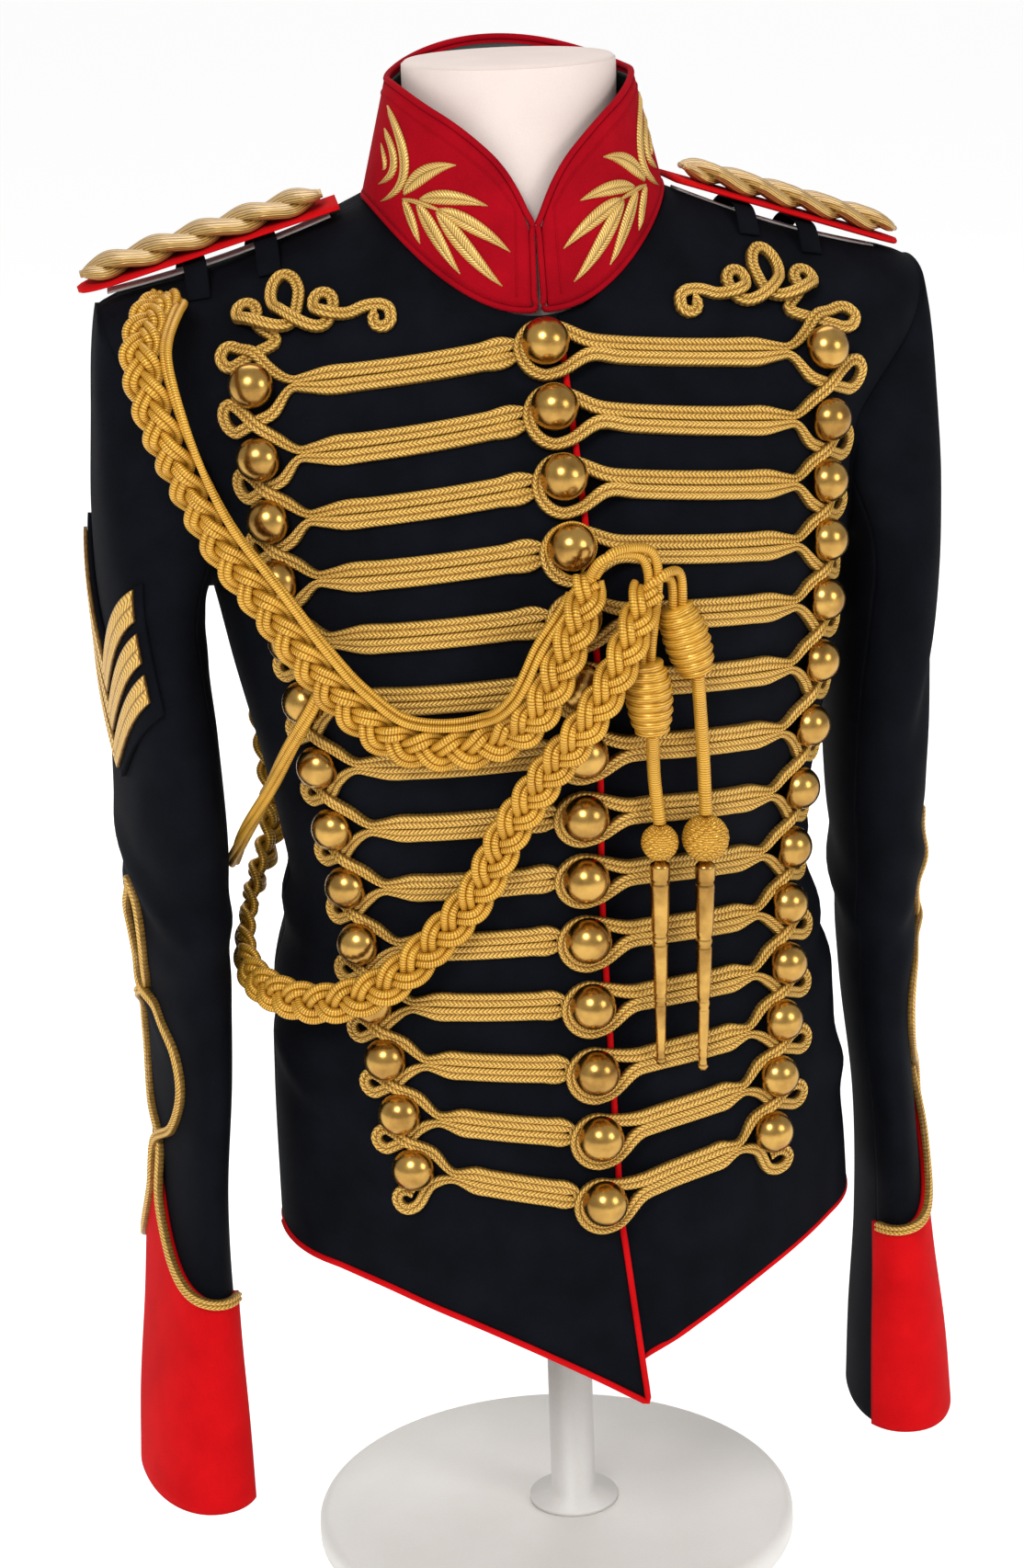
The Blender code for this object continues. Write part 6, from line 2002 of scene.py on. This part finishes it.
@dataclass
class DressForm:
    """The limbless form, its pole and its base."""

    body: BodyCloth
    # Columns: ring height, distance inside the cloth's outer face
    rings: Array = table(
        (0.212, 0.01), (0.27, 0.01), (0.33, 0.01), (0.375, 0.01), (0.42, 0.01), (0.47, 0.01),
        (0.53, 0.01), (0.59, 0.0095), (0.635, 0.007), (0.664, 0.0066), (0.676, 0.0053), (0.688, 0.0063),
    )
    sides: int = 96
    bottom: float = 0.212
    front_extra: float = 0.0042
    front_wide: float = 0.055
    neck_half: float = 0.0545
    neck_deep: float = 0.05
    neck_foot: float = 1.06
    neck_below: float = 0.0045
    neck_middle: float = 0.785
    neck_top: float = 0.826
    pole: float = 0.0125
    base: float = 0.135
    base_wall: float = 0.014
    levels: int = 120
    hub: float = 0.002
    pole_short: float = 0.002
    flange_wide: float = 2.0
    flange_wall: float = 0.003
    flange_high: float = 0.006
    base_hub: float = 0.004
    base_edge: float = 0.001

    def loops(self) -> Array:
        """Loops of the form from its flat foot to its neck, all starting at the centre front."""
        quarter = evenly(self.sides // 4 + 1)
        h = self.rings[:, :1]
        side, far = self.body.quarter(h), self.body.half_round(h)
        reach = join([quarter * side, side + quarter[1:] * (far - side)], axis=1)
        deep = -self.rings[:, 1:] - self.front_extra * (1 - ease(reach / self.front_wide))
        left = self.body.place(1, h, reach, deep, creased=False)[0]
        right = self.body.place(-1, h, reach[:, -2:0:-1], deep[:, -2:0:-1], creased=False)[0]
        torso = join([left, right], axis=1)
        torso[0, :, 2] = self.bottom
        angle = circle(self.sides)
        front_z, side_z, back_z = self.body.rings[-1, :3]
        line = side_z + (np.where(np.cos(angle) > 0, front_z, back_z) - side_z) * np.cos(angle) ** 2
        heights = [line - self.neck_below, 0.0 * line + self.neck_middle]
        heights += [0.0 * line + self.neck_top - drop for drop in (0.006, 0.0025, 0.0006, 0.0)]
        shares = (self.neck_foot, 1.0, 1.0, 0.99, 0.96, 0.9)
        neck = [np.column_stack([self.neck_half * k * np.sin(angle), -self.neck_deep * k * np.cos(angle), z])
                for k, z in zip(shares, heights)]
        return join([torso, np.array(neck)])

    def build(self) -> None:
        """Builds the form, the pole and the base."""
        loops = self.loops()
        place = np.arange(len(loops), dtype=float)
        knots = np.column_stack([place, loops.reshape(len(loops), -1)])
        rings = read_curve(knots, np.linspace(0, place[-1], self.levels))[:, 1:].reshape(-1, self.sides, 3)
        form = Surface().tube(rings, rings[:, 0, 2], evenly(self.sides + 1))
        form.settle("linen_form", Dress.LINEN, "dress_form")
        foot = np.array([self.body.lean * (self.body.lean_from - self.bottom), 0.0, 0.0])
        low, high, wide = self.base_wall, self.bottom - self.pole_short, self.flange_wide * self.pole
        rod = np.array([(self.hub, low), (wide, low), (wide, low + self.flange_wall),
                        (self.pole, low + self.flange_high), (self.pole, high), (self.hub, high)])
        Surface().lathe(rod, foot, UP, 40).settle("painted_pole", Dress.PAINT, "stand_pole")
        edge = 0.45 * self.base_wall
        inner, top = self.base - edge, self.base_wall - edge
        bend = np.radians(np.linspace(0.0, 90.0, 7))
        rim = [(inner + edge * math.cos(t), top + edge * math.sin(t)) for t in bend]
        plate = np.array([(self.base_hub, 0.0), (self.base - self.base_edge, 0.0), (self.base, self.base_edge),
                          *rim, (self.base_hub, self.base_wall)])
        Surface().lathe(plate, np.zeros(3), UP, self.sides).settle("painted_base", Dress.PAINT, "stand_base")


@dataclass
class Studio:
    """The floor, the soft lights and the camera at the photograph's angle."""

    azimuth: float = -10.0
    elevation: float = 17.0
    roll: float = -2.0
    distance: float = 1.9
    lens: float = 81.4
    target: Triple = (-0.011, 0.0, 0.442)
    floor_half: float = 30.0
    # Columns: x, y, z of a light, its width and its power
    lights: Array = table(
        (-1.0, -1.9, 2.2, 1.1, 40.0),
        (1.7, -1.6, 1.3, 1.0, 14.0),
        (0.2, 1.8, 2.6, 2.4, 30.0),
    )
    world: float = 0.55
    floor_glow: float = 0.46

    def camera(self) -> None:
        """Places the camera: it looks at the target from the angles, turned by the roll."""
        a, e, r = (math.radians(x) for x in (self.azimuth, self.elevation, self.roll))
        back = np.array([math.sin(a) * math.cos(e), -math.cos(a) * math.cos(e), math.sin(e)])
        right = np.array([math.cos(a), math.sin(a), 0.0])
        up = np.cross(back, right)
        right, up = right * math.cos(r) + up * math.sin(r), up * math.cos(r) - right * math.sin(r)
        data = bpy.data.cameras.new("camera")
        data.lens = self.lens
        data.sensor_width = 36.0
        made = add_object("camera", data)
        made.matrix_world = pose(right, up, back, np.array(self.target) + back * self.distance)
        bpy.context.scene.camera = made

    def light(self) -> None:
        """Adds large soft lights turned to the jacket, and an even pale surround."""
        for number, (x, y, z, wide, power) in enumerate(self.lights, start=1):
            data = bpy.data.lights.new(f"soft_light_{number}", "AREA")
            data.shape = "DISK"
            data.size, data.energy = wide, power
            spot = np.array([x, y, z])
            back = unit(spot - np.array(self.target))
            right = unit(np.cross(UP, back))
            add_object(data.name, data).matrix_world = pose(right, np.cross(back, right), back, spot)
        world = bpy.data.worlds.new("surround")
        world.use_nodes = True
        world.node_tree.nodes["Background"].inputs[0].default_value = (1.0, 1.0, 1.0, 1.0)
        world.node_tree.nodes["Background"].inputs[1].default_value = self.world
        bpy.context.scene.world = world

    def floor(self) -> None:
        """Adds a plain pale floor."""
        make = Weaver("pale_floor")
        make.fixed(Base_Color=(0.93, 0.93, 0.93, 1.0), Roughness=0.9, Specular_IOR_Level=0.1)
        make.fixed(Emission_Color=(1.0, 1.0, 1.0, 1.0), Emission_Strength=self.floor_glow)
        half = self.floor_half
        mesh = bpy.data.meshes.new("floor")
        corners = [(-half, -half, 0), (half, -half, 0), (half, half, 0), (-half, half, 0)]
        mesh.from_pydata(corners, [], [(0, 1, 2, 3)])
        mesh.materials.append(make.material)
        add_object("floor", mesh)

    def build(self) -> None:
        """Builds the whole stage."""
        self.camera()
        self.light()
        self.floor()
        bpy.context.scene.view_settings.view_transform = "Standard"


def main() -> None:
    """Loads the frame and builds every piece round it."""
    logging.basicConfig(level=logging.INFO, format="%(name)s: %(message)s")
    for old in list(bpy.data.objects):
        bpy.data.objects.remove(old, do_unlink=True)
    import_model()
    Studio().build()
    body = BodyCloth()
    panels = Panels(body)
    lacing = Lacing(body)
    sleeves = Sleeves({side: SleeveCloth(body, side.value) for side in Side})
    Aiguillette(body, lacing).build()
    panels.build()
    sleeves.build()
    Collar(body.rings[-1]).build()
    Piping(panels).build()
    lacing.build()
    ShoulderCords(body).build()
    SleeveTrim(sleeves, lacing).build()
    DressForm(body).build()


if __name__ == "__main__":
    main()
